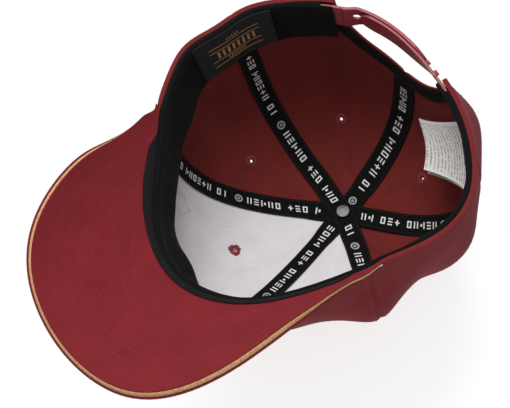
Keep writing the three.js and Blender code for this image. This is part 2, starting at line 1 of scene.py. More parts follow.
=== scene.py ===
import json
import math
import bpy
import numpy as np
from mathutils import Matrix, Vector
from mathutils.kdtree import KDTree
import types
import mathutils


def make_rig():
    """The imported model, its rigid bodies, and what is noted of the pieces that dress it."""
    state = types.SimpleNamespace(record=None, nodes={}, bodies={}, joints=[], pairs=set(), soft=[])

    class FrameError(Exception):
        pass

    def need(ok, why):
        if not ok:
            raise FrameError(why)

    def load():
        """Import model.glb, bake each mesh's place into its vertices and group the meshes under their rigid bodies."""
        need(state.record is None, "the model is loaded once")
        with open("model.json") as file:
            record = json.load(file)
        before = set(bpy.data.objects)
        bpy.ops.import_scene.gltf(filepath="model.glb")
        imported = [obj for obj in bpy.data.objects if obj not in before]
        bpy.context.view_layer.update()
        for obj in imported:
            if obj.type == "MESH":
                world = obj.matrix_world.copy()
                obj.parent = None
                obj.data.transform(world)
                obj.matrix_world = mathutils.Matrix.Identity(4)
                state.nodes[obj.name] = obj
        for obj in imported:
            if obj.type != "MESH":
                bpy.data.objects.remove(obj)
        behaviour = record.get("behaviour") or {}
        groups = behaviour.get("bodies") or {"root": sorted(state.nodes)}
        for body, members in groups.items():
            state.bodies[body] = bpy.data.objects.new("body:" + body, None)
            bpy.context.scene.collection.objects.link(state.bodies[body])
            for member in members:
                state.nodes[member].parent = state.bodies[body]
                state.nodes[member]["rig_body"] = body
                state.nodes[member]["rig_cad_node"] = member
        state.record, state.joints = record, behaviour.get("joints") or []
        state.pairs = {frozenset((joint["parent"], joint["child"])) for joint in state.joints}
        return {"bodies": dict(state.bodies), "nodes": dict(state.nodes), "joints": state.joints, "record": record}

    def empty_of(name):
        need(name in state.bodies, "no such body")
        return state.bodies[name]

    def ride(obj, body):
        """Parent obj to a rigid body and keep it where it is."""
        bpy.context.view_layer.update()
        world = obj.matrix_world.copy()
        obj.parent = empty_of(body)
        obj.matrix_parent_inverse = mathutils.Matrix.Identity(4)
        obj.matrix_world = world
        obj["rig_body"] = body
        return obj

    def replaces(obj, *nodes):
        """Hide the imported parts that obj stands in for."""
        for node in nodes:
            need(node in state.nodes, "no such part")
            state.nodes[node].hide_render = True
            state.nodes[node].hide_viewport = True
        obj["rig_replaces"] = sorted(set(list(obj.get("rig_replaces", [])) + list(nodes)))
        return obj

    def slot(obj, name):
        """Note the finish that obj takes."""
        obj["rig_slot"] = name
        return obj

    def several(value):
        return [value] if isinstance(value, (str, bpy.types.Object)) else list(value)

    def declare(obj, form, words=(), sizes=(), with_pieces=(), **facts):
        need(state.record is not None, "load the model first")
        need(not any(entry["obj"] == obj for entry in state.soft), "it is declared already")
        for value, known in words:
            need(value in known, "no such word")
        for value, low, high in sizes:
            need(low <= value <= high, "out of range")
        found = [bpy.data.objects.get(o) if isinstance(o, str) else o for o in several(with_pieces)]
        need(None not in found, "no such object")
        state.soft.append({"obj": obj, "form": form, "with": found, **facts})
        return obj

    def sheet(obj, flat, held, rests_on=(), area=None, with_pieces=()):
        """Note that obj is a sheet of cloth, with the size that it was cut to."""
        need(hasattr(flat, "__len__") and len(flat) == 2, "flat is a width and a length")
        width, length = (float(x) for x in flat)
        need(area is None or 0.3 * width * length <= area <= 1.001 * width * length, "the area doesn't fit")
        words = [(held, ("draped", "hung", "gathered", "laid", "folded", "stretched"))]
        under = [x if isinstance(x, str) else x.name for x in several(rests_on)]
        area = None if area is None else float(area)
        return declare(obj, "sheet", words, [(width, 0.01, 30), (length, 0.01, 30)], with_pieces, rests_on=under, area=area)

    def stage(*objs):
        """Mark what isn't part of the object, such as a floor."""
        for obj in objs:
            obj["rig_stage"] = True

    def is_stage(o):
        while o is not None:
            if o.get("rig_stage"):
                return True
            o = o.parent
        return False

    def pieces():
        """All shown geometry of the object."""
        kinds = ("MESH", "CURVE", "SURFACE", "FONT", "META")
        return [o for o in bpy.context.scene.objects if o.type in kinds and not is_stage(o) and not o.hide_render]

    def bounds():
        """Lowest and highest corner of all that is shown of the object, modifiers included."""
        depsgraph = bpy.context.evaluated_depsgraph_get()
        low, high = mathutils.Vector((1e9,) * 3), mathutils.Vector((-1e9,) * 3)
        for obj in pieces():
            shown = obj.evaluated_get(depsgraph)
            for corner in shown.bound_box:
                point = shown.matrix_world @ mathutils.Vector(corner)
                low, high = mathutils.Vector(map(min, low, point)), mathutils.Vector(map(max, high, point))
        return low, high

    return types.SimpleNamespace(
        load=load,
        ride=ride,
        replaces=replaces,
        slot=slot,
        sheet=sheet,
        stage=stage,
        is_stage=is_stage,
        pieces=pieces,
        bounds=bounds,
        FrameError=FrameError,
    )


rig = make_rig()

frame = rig.load()
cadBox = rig.bounds()
bpy.ops.object.select_all(action="DESELECT")
print("frame loaded:", len(frame["nodes"]), "nodes")

# Lengths in these tables are millimetres in the cap's own level frame: rim at z = 0, visor towards -Y,
# wearer's left towards +X. Angles run round the rim from the middle of the front.
crown = {
    "halfWidth": 89, "halfDepth": 92, "height": 116, "topLean": -3, "topSet": 14,
    "forward": 0.01, "lobed": 0.06, "squared": 0.028, "lean": -0.07, "twist": -0.04, "sway": 0.035,
    "roundSides": 0.9, "roundFront": 0.21, "riseSides": 0.5, "riseFront": 0.055,
    "holeRadius": 4.5, "panelThick": 1.2, "buckramThick": 0.8, "layerGap": 0.3, "bendSpare": 0.3,
    "ripple": 0.55, "seamDip": 0.85, "seamDipWidth": 1.5,
}
visor = {
    "reach": 72, "endAngle": 70, "endReach": 3, "roundness": 1.7, "spread": 1.22, "curveRadius": 98,
    "pitch": 25, "coverThick": 0.8, "boardThick": 2.2, "edgeStrip": 1.6, "start": 0.5,
}
closure = {
    "halfWidth": 44, "height": 47, "strapWidth": 19, "strapThick": 1.6, "strapRise": 1.5, "strapRoot": 8,
    "pegPitch": 9, "pegCount": 7, "pegsEngaged": 5, "pegBase": 4.4, "pegTip": 3, "pegSunk": 0.6,
    "holeClearance": 0.9, "snapOffset": 4, "holeStrapTail": 7, "pegStrapTail": 6, "strapSet": 0.8,
    "snapGap": 0.6, "bindingWidth": 9, "bindingThick": 0.8,
}
stand = {"tipDegrees": 9.80344878, "moved": (4.659065, 39.652956, 13.927851)}
rad = math.radians


def smooth(x, low, high):
    t = np.clip((x - low) / (high - low), 0, 1)
    return t * t * (3 - 2 * t)


def blendTo(a, b, t):
    return a + (b - a) * t


# where things are: the crown, the visor and the straps as surfaces

standTurn = Matrix.Rotation(-rad(stand["tipDegrees"]), 3, "X")
standTurnArray = np.array(standTurn)


def toFrame(points):
    return (np.asarray(points, float) @ standTurnArray.T + np.array(stand["moved"])) / 1000


def directionToFrame(v):
    return (standTurn @ Vector(v)).normalized()


def rimPoint(angle):
    s, c = np.sin(angle), np.cos(angle)
    turn = np.abs(np.arctan2(s, c))
    behind = smooth(turn, rad(visor["endAngle"] + 2), rad(visor["endAngle"] + 45))
    radius = 1 / np.hypot(s / crown["halfWidth"], c / crown["halfDepth"])
    share = (1 + crown["forward"] * c + crown["lobed"] * np.cos(3 * angle) + crown["squared"] * np.cos(4 * angle)
             + behind * (crown["lean"] * s + crown["twist"] * np.sin(2 * angle)
                         + crown["sway"] * np.sin(3 * angle)))
    return radius * share * s, -radius * share * c


endX, endY = rimPoint(rad(visor["endAngle"]))


def sag(x):
    return visor["curveRadius"] - np.sqrt(visor["curveRadius"] ** 2 - x * x)


def visorZ(x, y):
    return sag(endX) - sag(x) + math.tan(rad(visor["pitch"])) * (y - endY)


def rimZ(angle):
    turn = np.abs(np.arctan2(np.sin(angle), np.cos(angle)))
    x, y = rimPoint(angle)
    return np.where(turn >= rad(visor["endAngle"]), 0.0, visorZ(x, y))


def outAt(angle, share):
    powerOut = 2 / (crown["roundSides"] + crown["roundFront"] * np.cos(angle))
    powerUp = 2 / (crown["riseSides"] + crown["riseFront"] * np.cos(angle))
    return np.maximum(1 - np.maximum(share, 0) ** powerUp, 0) ** (1 / powerOut)


def shareAt(angle, lift):
    angle, lift = np.broadcast_arrays(np.asarray(angle, float), np.asarray(lift, float))
    low, high = np.zeros(angle.shape), np.ones(angle.shape)
    for _ in range(40):
        share = (low + high) / 2
        below = np.arctan2(share, outAt(angle, share)) < lift
        low, high = np.where(below, share, low), np.where(below, high, share)
    return (low + high) / 2


def skin(angle, share):
    out = outAt(angle, share)
    x, y = rimPoint(angle)
    return np.stack([x * out + crown["topLean"] * (1 - out), y * out + crown["topSet"] * (1 - out),
                     rimZ(angle) * (1 - share) + crown["height"] * share], -1)


def unit(v):
    return v / np.maximum(np.linalg.norm(v, axis=-1, keepdims=True), 1e-12)


def skinNormal(angle, share):
    step = 0.004
    low = np.clip(share - step, 0, 1 - 2 * step)
    along = skin(angle + step, share) - skin(angle - step, share)
    return unit(np.cross(along, skin(angle, low + 2 * step) - skin(angle, low)))


# where the soft cloth bulges out or sits in: degrees, share of the height, amount, and the two spans
slump = ((96, 0.0, 6.0, 12, 0.32), (120, 0.0, 3.5, 12, 0.32), (-144, 0.27, 11.5, 18, 0.2),
         (-63, 0.62, 8.0, 12, 0.24), (-87, 0.6, -6.5, 11, 0.28))


def turnFrom(angle, degrees):
    return np.degrees(np.arctan2(np.sin(angle - rad(degrees)), np.cos(angle - rad(degrees))))


# soft unevenness of the crown, outwards, gone at the top
def ripple(angle, share):
    bulge = sum(amount * np.exp(-(turnFrom(angle, degrees) / wide) ** 2 - ((share - at) / tall) ** 2)
                for degrees, at, amount, wide, tall in slump) * (1 - smooth(share, 0.82, 0.99))
    return bulge + unevenness(angle, share)


def unevenness(angle, share):
    body = smooth(share, 0.06, 0.4) * (1 - smooth(share, 0.82, 0.99))
    waves = (np.sin(5 * angle + 3 * share + 0.7) + 0.7 * np.sin(9 * angle - 7 * share + 2.1)
             + 0.5 * np.sin(3 * angle + 13 * share) + 0.35 * np.sin(17 * angle + 9 * share + 4.0))
    return crown["ripple"] * body * waves


def inside(angle, share, depth):
    angle, share, depth = np.broadcast_arrays(*(np.asarray(v, float) for v in (angle, share, depth)))
    return skin(angle, share) - skinNormal(angle, share) * (depth - ripple(angle, share))[..., None]


def wallHeight(angle):
    return crown["height"] - rimZ(angle)


apex = np.array([crown["topLean"], crown["topSet"], crown["height"]], float)
buckramDepth = crown["panelThick"] + crown["layerGap"]
tapeOverPanel = buckramDepth + crown["bendSpare"]
tapeOverBuckram = buckramDepth + crown["buckramThick"] + crown["layerGap"] + crown["bendSpare"]
sweatbandDepth = tapeOverBuckram + 0.8 + crown["layerGap"]
strapDepth = tapeOverPanel + closure["bindingThick"] + crown["layerGap"]
sweatbandOverStrap = strapDepth + closure["strapThick"] + crown["layerGap"]
archTurn = closure["halfWidth"] / crown["halfDepth"]
closureFoot = math.pi - archTurn


def archShare(angle, spare=0.0):
    off = np.abs(np.arctan2(np.sin(angle - math.pi), np.cos(angle - math.pi)))
    half = archTurn + spare / crown["halfDepth"]
    rise = closure["height"] + spare
    return (rise / wallHeight(angle)) * np.sqrt(np.maximum(1 - (off / half) ** 2, 0))


# making meshes and pieces

def meshFrom(name, points, faces, uv=None):
    mesh = bpy.data.meshes.new(name)
    mesh.from_pydata(toFrame(points).tolist(), [], [list(map(int, f)) for f in faces])
    if uv is not None:
        layer = mesh.uv_layers.new(name="UVMap")
        corner = np.zeros(len(mesh.loops), np.int32)
        mesh.loops.foreach_get("vertex_index", corner)
        layer.data.foreach_set("uv", np.asarray(uv, np.float32)[corner].ravel())
    mesh.validate()
    return linked(bpy.data.objects.new(name, mesh))


def linked(obj):
    bpy.context.scene.collection.objects.link(obj)
    return obj


def only(obj):
    bpy.ops.object.select_all(action="DESELECT")
    obj.select_set(True)
    bpy.context.view_layer.objects.active = obj


def mode(kind):
    bpy.ops.object.mode_set(mode=kind)


def applyModifier(obj, kind, **settings):
    only(obj)
    mod = obj.modifiers.new(kind.lower(), kind)
    for key, value in settings.items():
        setattr(mod, key, value)
    bpy.ops.object.modifier_apply(modifier=mod.name)


def volumeOf(points, faces):
    total = 0.0
    for size in {len(f) for f in faces}:
        f = np.array([g for g in faces if len(g) == size])
        a = points[f[:, 0]]
        for k in range(1, size - 1):
            total += float((a * np.cross(points[f[:, k]], points[f[:, k + 1]])).sum())
    return total


# a closed sheet over a grid: outer and inner are (columns, rows, 3) arrays, uv is in millimetres
def sheetPiece(name, outer, inner, uv, bevel=0.3):
    nu, nv = outer.shape[:2]
    grid = np.arange(nu * nv).reshape(nu, nv)
    a, b, c, d = grid[:-1, :-1], grid[1:, :-1], grid[1:, 1:], grid[:-1, 1:]
    top = np.stack([a, b, c, d], -1).reshape(-1, 4)
    under = top[:, ::-1] + nu * nv
    rims = []
    for line in (grid[:, 0], grid[-1, :], grid[::-1, -1], grid[0, ::-1]):
        rims.append(np.stack([line[:-1], line[:-1] + nu * nv, line[1:] + nu * nv, line[1:]], -1))
    faces = np.concatenate([top, under, *rims])
    points = np.concatenate([outer.reshape(-1, 3), inner.reshape(-1, 3)])
    if volumeOf(points, faces) < 0:
        faces = faces[:, ::-1]
    flat = np.concatenate([uv.reshape(-1, 2)] * 2) / 1000
    obj = meshFrom(name, points, faces, flat)
    if bevel:
        addBevel(obj, bevel)
    return obj


def addBevel(obj, width, segments=2, angle=50):
    applyModifier(obj, "BEVEL", width=width / 1000, segments=segments, limit_method="ANGLE",
                  angle_limit=rad(angle))


def cutWith(obj, cutter):
    applyModifier(obj, "BOOLEAN", operation="DIFFERENCE", solver="EXACT", object=cutter)
    bpy.data.objects.remove(cutter)


def place(obj, body, slot, material, nodes=(), angle=38):
    only(obj)
    bpy.ops.object.shade_smooth_by_angle(angle=rad(angle))
    obj.data.materials.clear()
    obj.data.materials.append(material)
    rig.ride(obj, body)
    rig.slot(obj, slot)
    if nodes:
        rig.replaces(obj, *nodes)
    return obj


# distances in millimetres along a grid's columns and rows, for its uv
def lengths(points):
    return np.concatenate([[0], np.cumsum(np.linalg.norm(np.diff(points, axis=0), axis=1))])


def areaOf(grid):
    across, up = np.diff(grid, axis=0)[:, :-1], np.diff(grid, axis=1)[:-1]
    return float(np.linalg.norm(np.cross(across, up), axis=-1).sum()) / 1e6


# the size and area, in metres, that a panel is cut to, measured along its surface
def cutSize(grid):
    sides = lengths(grid[:, 4])[-1], lengths(grid[len(grid) // 2])[-1]
    return {"flat": tuple(round(float(side) / 1000, 3) for side in sides), "area": areaOf(grid)}


def gridUv(points):
    nu, nv = points.shape[:2]
    across = lengths(points[:, nv // 3])
    up = lengths(points[nu // 2])
    return np.stack(np.broadcast_arrays(across[:, None], up[None, :]), -1)


# stitches are short rounded rods, half sunk in the cloth
def stitchShape():
    turns = np.arange(6) / 6 * 2 * math.pi
    rings = []
    for x, r in ((-0.5, 0.45), (-0.3, 1.0), (0.3, 1.0), (0.5, 0.45)):
        rings.append(np.stack([np.full(6, x), r * np.cos(turns), r * np.sin(turns)], -1))
    faces = []
    for k in range(3):
        for i in range(6):
            j = (i + 1) % 6
            faces.append((6 * k + i, 6 * k + 6 + i, 6 * k + 6 + j, 6 * k + j))
    return np.concatenate(rings), faces, [tuple(range(6)), tuple(range(23, 17, -1))]


rodPoints, rodSides, rodEnds = stitchShape()


def stitchRows(name, rows, pitch, length, width, sink=0.35):
    centres, alongs, ups = [], [], []
    for points, normals in rows:
        run = lengths(points)
        count = int(run[-1] / pitch)
        if count < 1:
            continue
        spots = (np.arange(count) + 0.5) * run[-1] / count
        take = lambda at, values: np.stack([np.interp(at, run, values[:, k]) for k in range(3)], -1)
        centres.append(take(spots, points))
        alongs.append(unit(take(spots + length / 2, points) - take(spots - length / 2, points)))
        ups.append(unit(take(spots, normals)))
    centres, alongs, ups = (np.concatenate(v) for v in (centres, alongs, ups))
    sides = unit(np.cross(ups, alongs))
    ups = np.cross(alongs, sides)
    shape = rodPoints * np.array([length, width / 2, width / 2])
    points = (centres[:, None] + shape[None, :, :1] * alongs[:, None] + shape[None, :, 1:2] * sides[:, None]
              + (shape[None, :, 2:] + width * (0.5 - sink) * 0.5) * ups[:, None])
    faces = []
    for k in range(len(centres)):
        for f in rodSides + rodEnds:
            faces.append(tuple(i + 24 * k for i in f))
    flat = points.reshape(-1, 3)
    if volumeOf(flat, faces[:20]) < 0:
        faces = [f[::-1] for f in faces]
    return meshFrom(name, flat, faces)


# materials

def newMaterial(name):
    mat = bpy.data.materials.new(name)
    mat.use_nodes = True
    tree = mat.node_tree
    return mat, tree, tree.nodes["Principled BSDF"]


def colour(r, g, b, gain=1.0):
    lin = [((v / 255 + 0.055) / 1.055) ** 2.4 if v / 255 > 0.04045 else v / 255 / 12.92 for v in (r, g, b)]
    return tuple(min(v * gain, 1) for v in lin) + (1,)


def node(tree, kind, inputs=None, **settings):
    made = tree.nodes.new(kind)
    for key, value in settings.items():
        setattr(made, key, value)
    for key, value in (inputs or {}).items():
        if isinstance(value, bpy.types.NodeSocket):
            tree.links.new(value, made.inputs[key])
        else:
            made.inputs[key].default_value = value
    return made


def coordinates(tree, source, scale, turn=0.0):
    coord = node(tree, "ShaderNodeTexCoord")
    mapping = node(tree, "ShaderNodeMapping", {"Vector": coord.outputs[source], "Scale": (scale,) * 3,
                                               "Rotation": (0, 0, turn)})
    return mapping.outputs["Vector"]


def mixColour(tree, share, a, b, kind="MIX"):
    made = node(tree, "ShaderNodeMix", data_type="RGBA", blend_type=kind)
    for index, value in ((0, share), (6, a), (7, b)):
        if isinstance(value, bpy.types.NodeSocket):
            tree.links.new(value, made.inputs[index])
        else:
            made.inputs[index].default_value = value
    return made.outputs[2]


def mathNode(tree, operation, a, b=0.0, c=0.0, clamp=False):
    made = node(tree, "ShaderNodeMath", operation=operation, use_clamp=clamp)
    for index, value in enumerate((a, b, c)):
        if isinstance(value, bpy.types.NodeSocket):
            tree.links.new(value, made.inputs[index])
        else:
            made.inputs[index].default_value = value
    return made.outputs[0]


def rangeNode(tree, value, fromLow, fromHigh, toLow, toHigh):
    return node(tree, "ShaderNodeMapRange", {0: value, 1: fromLow, 2: fromHigh, 3: toLow, 4: toHigh}).outputs[0]


# the base colour lightened or darkened by a value round zero
def shadeBase(tree, bsdf, base, light):
    level = mathNode(tree, "ADD", light, 1.0)
    shade = node(tree, "ShaderNodeCombineColor", {0: level, 1: level, 2: level}).outputs[0]
    tree.links.new(mixColour(tree, 1.0, base, shade, "MULTIPLY"), bsdf.inputs["Base Color"])


def bumpFrom(tree, bsdf, height, strength, distance):
    bumped = node(tree, "ShaderNodeBump", {"Height": height, "Strength": strength, "Distance": distance})
    tree.links.new(bumped.outputs["Normal"], bsdf.inputs["Normal"])


# woven cloth: diagonal ribs, crossing threads, soft mottling and fine lint, on the piece's own uv
def clothMaterial(name, base, rib=0.75, ribTurn=60, ribDepth=0.2, mottle=0.1, bump=0.4, sheen=0.03,
                  rough=0.95, lint=0.08, source="UV", paintedShadeTint=None, spec=0.1):
    mat, tree, bsdf = newMaterial(name)
    mm = coordinates(tree, source, 1000)
    turned = coordinates(tree, source, 1000, rad(ribTurn))
    ribs = node(tree, "ShaderNodeTexWave", {"Vector": turned, "Scale": 0.314 / rib, "Distortion": 0.6,
                "Detail": 1.0, "Detail Scale": 1.4}, wave_type="BANDS", bands_direction="X", wave_profile="SIN")
    threads = node(tree, "ShaderNodeTexWave", {"Vector": turned, "Scale": 0.314 / (rib * 0.62),
                   "Distortion": 0.4, "Detail": 1.0}, wave_type="BANDS", bands_direction="Y",
                   wave_profile="SIN")
    broad = node(tree, "ShaderNodeTexNoise", {"Vector": mm, "Scale": 0.045, "Detail": 3.0, "Roughness": 0.55})
    fine = node(tree, "ShaderNodeTexNoise", {"Vector": mm, "Scale": 1.3, "Detail": 2.0})
    weave = mathNode(tree, "MULTIPLY_ADD", ribs.outputs["Fac"], 0.65, mathNode(tree, "MULTIPLY",
                     threads.outputs["Fac"], 0.35))
    light = mathNode(tree, "ADD", rangeNode(tree, weave, 0, 1, -ribDepth, ribDepth),
                     rangeNode(tree, broad.outputs["Fac"], 0.3, 0.7, -mottle, mottle))
    light = mathNode(tree, "ADD", light, rangeNode(tree, fine.outputs["Fac"], 0.35, 0.65, -lint, lint))
    # painted shade: the inner face of the crown cloth takes its own maroon, which stands in for the shade inside the
    # crown
    if paintedShadeTint:
        inner = node(tree, "ShaderNodeAttribute", attribute_name="paintedShadeSide").outputs["Fac"]
        base = mixColour(tree, inner, base, paintedShadeTint)
    shadeBase(tree, bsdf, base, light)
    bumpFrom(tree, bsdf, mathNode(tree, "MULTIPLY_ADD", fine.outputs["Fac"], 0.5, weave), bump, 0.00012)
    bsdf.inputs["Roughness"].default_value = rough
    bsdf.inputs["Sheen Weight"].default_value = sheen
    bsdf.inputs["Sheen Roughness"].default_value = 0.45
    bsdf.inputs["Specular IOR Level"].default_value = spec
    return mat


def plainGrain(name, base, scale, amount, bump, rough, spec=0.5, metal=0.0):
    mat, tree, bsdf = newMaterial(name)
    coord = node(tree, "ShaderNodeTexCoord")
    grain = node(tree, "ShaderNodeTexNoise", {"Vector": coord.outputs["Object"], "Scale": scale, "Detail": 4.0})
    broad = node(tree, "ShaderNodeTexNoise", {"Vector": coord.outputs["Object"], "Scale": 60.0, "Detail": 2.0})
    both = mathNode(tree, "ADD", rangeNode(tree, grain.outputs["Fac"], 0.3, 0.7, -amount, amount),
                    rangeNode(tree, broad.outputs["Fac"], 0.3, 0.7, -amount * 0.7, amount * 0.7))
    shadeBase(tree, bsdf, base, both)
    tree.links.new(rangeNode(tree, grain.outputs["Fac"], 0.3, 0.7, max(rough - 0.08, 0.02), rough + 0.08),
                   bsdf.inputs["Roughness"])
    bumpFrom(tree, bsdf, grain.outputs["Fac"], bump, 0.0001)
    bsdf.inputs["Metallic"].default_value = metal
    bsdf.inputs["Specular IOR Level"].default_value = spec
    return mat


# the maroon of the crown cloth's inner face is painted shade for the inside of the crown
finish = {
    "crownMaroon": colour(116, 36, 42), "visorMaroon": colour(124, 36, 42), "black": colour(15, 15, 16),
    "paintedShadeMaroon": colour(112, 41, 38), "buckram": colour(226, 222, 226), "plastic": colour(150, 50, 62),
    "gold": colour(176, 132, 84), "mark": colour(226, 226, 224),
}
crownTwill = clothMaterial("crownTwill", finish["crownMaroon"], paintedShadeTint=finish["paintedShadeMaroon"])
visorTwill = clothMaterial("visorTwill", finish["visorMaroon"])
sweatCloth = clothMaterial("sweatbandCotton", finish["black"], rib=0.55, ribTurn=30, ribDepth=0.22, bump=0.4,
                           sheen=0.02, lint=0.18, spec=0.12)
foldCloth = clothMaterial("sweatbandFold", colour(24, 24, 25), rib=0.55, ribTurn=30, ribDepth=0.2, bump=0.4,
                          sheen=0.03, lint=0.18, spec=0.15)
tapeCloth = clothMaterial("seamTapeWeave", finish["black"], rib=0.8, ribTurn=0, ribDepth=0.14, bump=0.35,
                          sheen=0.02, lint=0.12, spec=0.12)
satin = clothMaterial("labelSatin", colour(31, 34, 35), rib=0.4, ribTurn=90, ribDepth=0.1, bump=0.15,
                      sheen=0.1, rough=0.5, lint=0.05)
threadMaroon = plainGrain("maroonThread", colour(132, 44, 54), 2400, 0.16, 0.4, 0.75, spec=0.3)
threadBrown = plainGrain("brownThread", colour(140, 104, 92), 2400, 0.12, 0.4, 0.75, spec=0.3)
threadDark = plainGrain("blackThread", colour(38, 38, 40), 2400, 0.2, 0.4, 0.7, spec=0.3)
threadWhite = plainGrain("whiteThread", finish["mark"], 2600, 0.06, 0.5, 0.8, spec=0.25)
threadGrey = plainGrain("greyThread", colour(168, 168, 168), 1500, 0.2, 0.5, 0.8, spec=0.25)
threadGold = plainGrain("goldThread", finish["gold"], 2600, 0.14, 0.5, 0.55, spec=0.4)
boardMaterial = plainGrain("visorBoardCard", colour(228, 224, 214), 900, 0.05, 0.2, 0.7)
plasticMaterial = plainGrain("strapPlastic", finish["plastic"], 700, 0.05, 0.12, 0.42, spec=0.5)
steelMaterial = plainGrain("rivetSteel", colour(108, 109, 112), 1500, 0.1, 0.25, 0.24, metal=1.0)


# stiff lining: off-white, with fine upright streaks
def buckramMaterial():
    mat, tree, bsdf = newMaterial("stiffLining")
    coord = node(tree, "ShaderNodeTexCoord")
    mapping = node(tree, "ShaderNodeMapping", {"Vector": coord.outputs["UV"], "Scale": (1400, 90, 1)})
    streak = node(tree, "ShaderNodeTexNoise", {"Vector": mapping.outputs[0], "Scale": 1.0, "Detail": 3.0})
    fine = node(tree, "ShaderNodeTexNoise", {"Vector": coordinates(tree, "UV", 1000), "Scale": 1.6,
                "Detail": 3.0})
    broad = node(tree, "ShaderNodeTexNoise", {"Vector": coordinates(tree, "UV", 1000), "Scale": 0.05})
    total = mathNode(tree, "ADD", rangeNode(tree, streak.outputs["Fac"], 0.3, 0.7, -0.05, 0.05),
                     rangeNode(tree, fine.outputs["Fac"], 0.3, 0.7, -0.035, 0.035))
    total = mathNode(tree, "ADD", total, rangeNode(tree, broad.outputs["Fac"], 0.3, 0.7, -0.04, 0.04))
    shadeBase(tree, bsdf, finish["buckram"], total)
    bumpFrom(tree, bsdf, mathNode(tree, "ADD", streak.outputs["Fac"], fine.outputs["Fac"]), 0.35, 0.00015)
    bsdf.inputs["Roughness"].default_value = 0.92
    bsdf.inputs["Specular IOR Level"].default_value = 0.2
    return mat


# cork: warm granules with dark flecks
def corkMaterial():
    mat, tree, bsdf = newMaterial("corkStrip")
    coord = node(tree, "ShaderNodeTexCoord")
    cells = node(tree, "ShaderNodeTexVoronoi", {"Vector": coord.outputs["Object"], "Scale": 900.0})
    flecks = node(tree, "ShaderNodeTexNoise", {"Vector": coord.outputs["Object"], "Scale": 620.0,
                  "Detail": 3.0})
    granule = rangeNode(tree, cells.outputs["Distance"], 0.0, 0.7, 0.0, 1.0)
    dark = rangeNode(tree, flecks.outputs["Fac"], 0.6, 0.7, 0.0, 0.8)
    tone = mixColour(tree, granule, colour(228, 184, 138), colour(196, 146, 100))
    tone = mixColour(tree, dark, tone, colour(128, 84, 56))
    tree.links.new(tone, bsdf.inputs["Base Color"])
    bumpFrom(tree, bsdf, flecks.outputs["Fac"], 0.5, 0.0002)
    bsdf.inputs["Roughness"].default_value = 0.85
    return mat


# care ribbon: white nylon with rows of grey dashes that say nothing
def careMaterial():
    mat, tree, bsdf = newMaterial("careRibbon")
    uv = node(tree, "ShaderNodeTexCoord").outputs["UV"]
    split = node(tree, "ShaderNodeSeparateXYZ", {0: uv})
    x = mathNode(tree, "MULTIPLY", split.outputs[0], 1000)
    y = mathNode(tree, "MULTIPLY", split.outputs[1], 1000)
    line = mathNode(tree, "DIVIDE", y, 1.9)
    row = mathNode(tree, "FLOOR", line)
    within = mathNode(tree, "FRACT", line)
    inRow = mathNode(tree, "MULTIPLY", mathNode(tree, "GREATER_THAN", within, 0.3),
                     mathNode(tree, "LESS_THAN", within, 0.72))
    spot = node(tree, "ShaderNodeCombineXYZ", {0: mathNode(tree, "MULTIPLY", x, 0.9),
                                               1: mathNode(tree, "MULTIPLY", row, 7.3)})
    dashes = node(tree, "ShaderNodeTexNoise", {"Vector": spot.outputs[0], "Scale": 1.0, "Detail": 2.0})
    marks = mathNode(tree, "GREATER_THAN", dashes.outputs["Fac"], 0.47)
    inSide, inTall = (mathNode(tree, "MULTIPLY", mathNode(tree, "GREATER_THAN", q, 3.0),
                               mathNode(tree, "LESS_THAN", q, end)) for q, end in ((x, 44.0), (y, 39.0)))
    share = mathNode(tree, "MULTIPLY", mathNode(tree, "MULTIPLY", inRow, marks),
                     mathNode(tree, "MULTIPLY", inSide, inTall))
    share = mathNode(tree, "MULTIPLY", share, 0.62)
    fine = node(tree, "ShaderNodeTexNoise", {"Vector": coordinates(tree, "UV", 1000), "Scale": 2.0})
    paper = mixColour(tree, rangeNode(tree, fine.outputs["Fac"], 0.3, 0.7, 0.0, 1.0), colour(206, 204, 200),
                      colour(222, 220, 216))
    tree.links.new(mixColour(tree, share, paper, colour(84, 82, 84)), bsdf.inputs["Base Color"])
    bumpFrom(tree, bsdf, fine.outputs["Fac"], 0.2, 0.0001)
    bsdf.inputs["Roughness"].default_value = 0.7
    bsdf.inputs["Sheen Weight"].default_value = 0.1
    return mat


liningMaterial = buckramMaterial()
corkStrip = corkMaterial()
careRibbon = careMaterial()
print("materials made")

# crown panels and stiff lining

panelWork = {"columns": 40, "rows": 52, "seamHalfGap": 0.03, "archColumns": 26, "hemThick": 1.5}
seams = {0: -5.5, 60: 62.4, 120: 115.6, 180: 180, -180: -180, -120: -120, -60: -65}
panelSpans = {
    "front_left_panel": (0, 60), "side_left_panel": (60, 120), "back_left_panel": (120, 180),
    "front_right_panel": (0, -60), "side_right_panel": (-60, -120), "back_right_panel": (-120, -180),
}


def eased(count, crowd=0.35):
    t = np.linspace(0, 1, count + 1)
    return t - crowd * np.sin(2 * math.pi * t) / (2 * math.pi)


def panelColumns(start, end):
    inset = math.copysign(panelWork["seamHalfGap"] / crown["halfDepth"], end - start)
    if abs(end) < 180:
        return blendTo(rad(seams[start]) + inset, rad(seams[end]) - inset, eased(panelWork["columns"], 0.8))
    side = math.copysign(1, end)
    foot = side * closureFoot
    plain = np.linspace(rad(seams[start]) + inset, foot, 20)[:-1]
    turns = np.linspace(0, math.pi / 2, panelWork["archColumns"])
    arch = side * math.pi - side * archTurn * np.cos(turns)
    arch[-1] -= inset
    return np.concatenate([plain, arch])


def topLift(angle):
    x, y = rimPoint(angle)
    return np.arctan2(1, crown["holeRadius"] / np.hypot(x, y))


def seamDistance(angle, share):
    x, y = rimPoint(angle)
    reach = np.hypot(x, y) * np.maximum(outAt(angle, share), 0.02)
    nearest = np.min([np.abs(turnFrom(angle, seam)) for seam in seams.values()], axis=0)
    return np.radians(nearest) * reach


def seamDip(angle, share, width=None):
    dip = crown["seamDip"] * np.exp(-(seamDistance(angle, share) / (width or crown["seamDipWidth"])) ** 2)
    return dip * (0.2 + 0.8 * smooth(share, 0.02, 0.12))


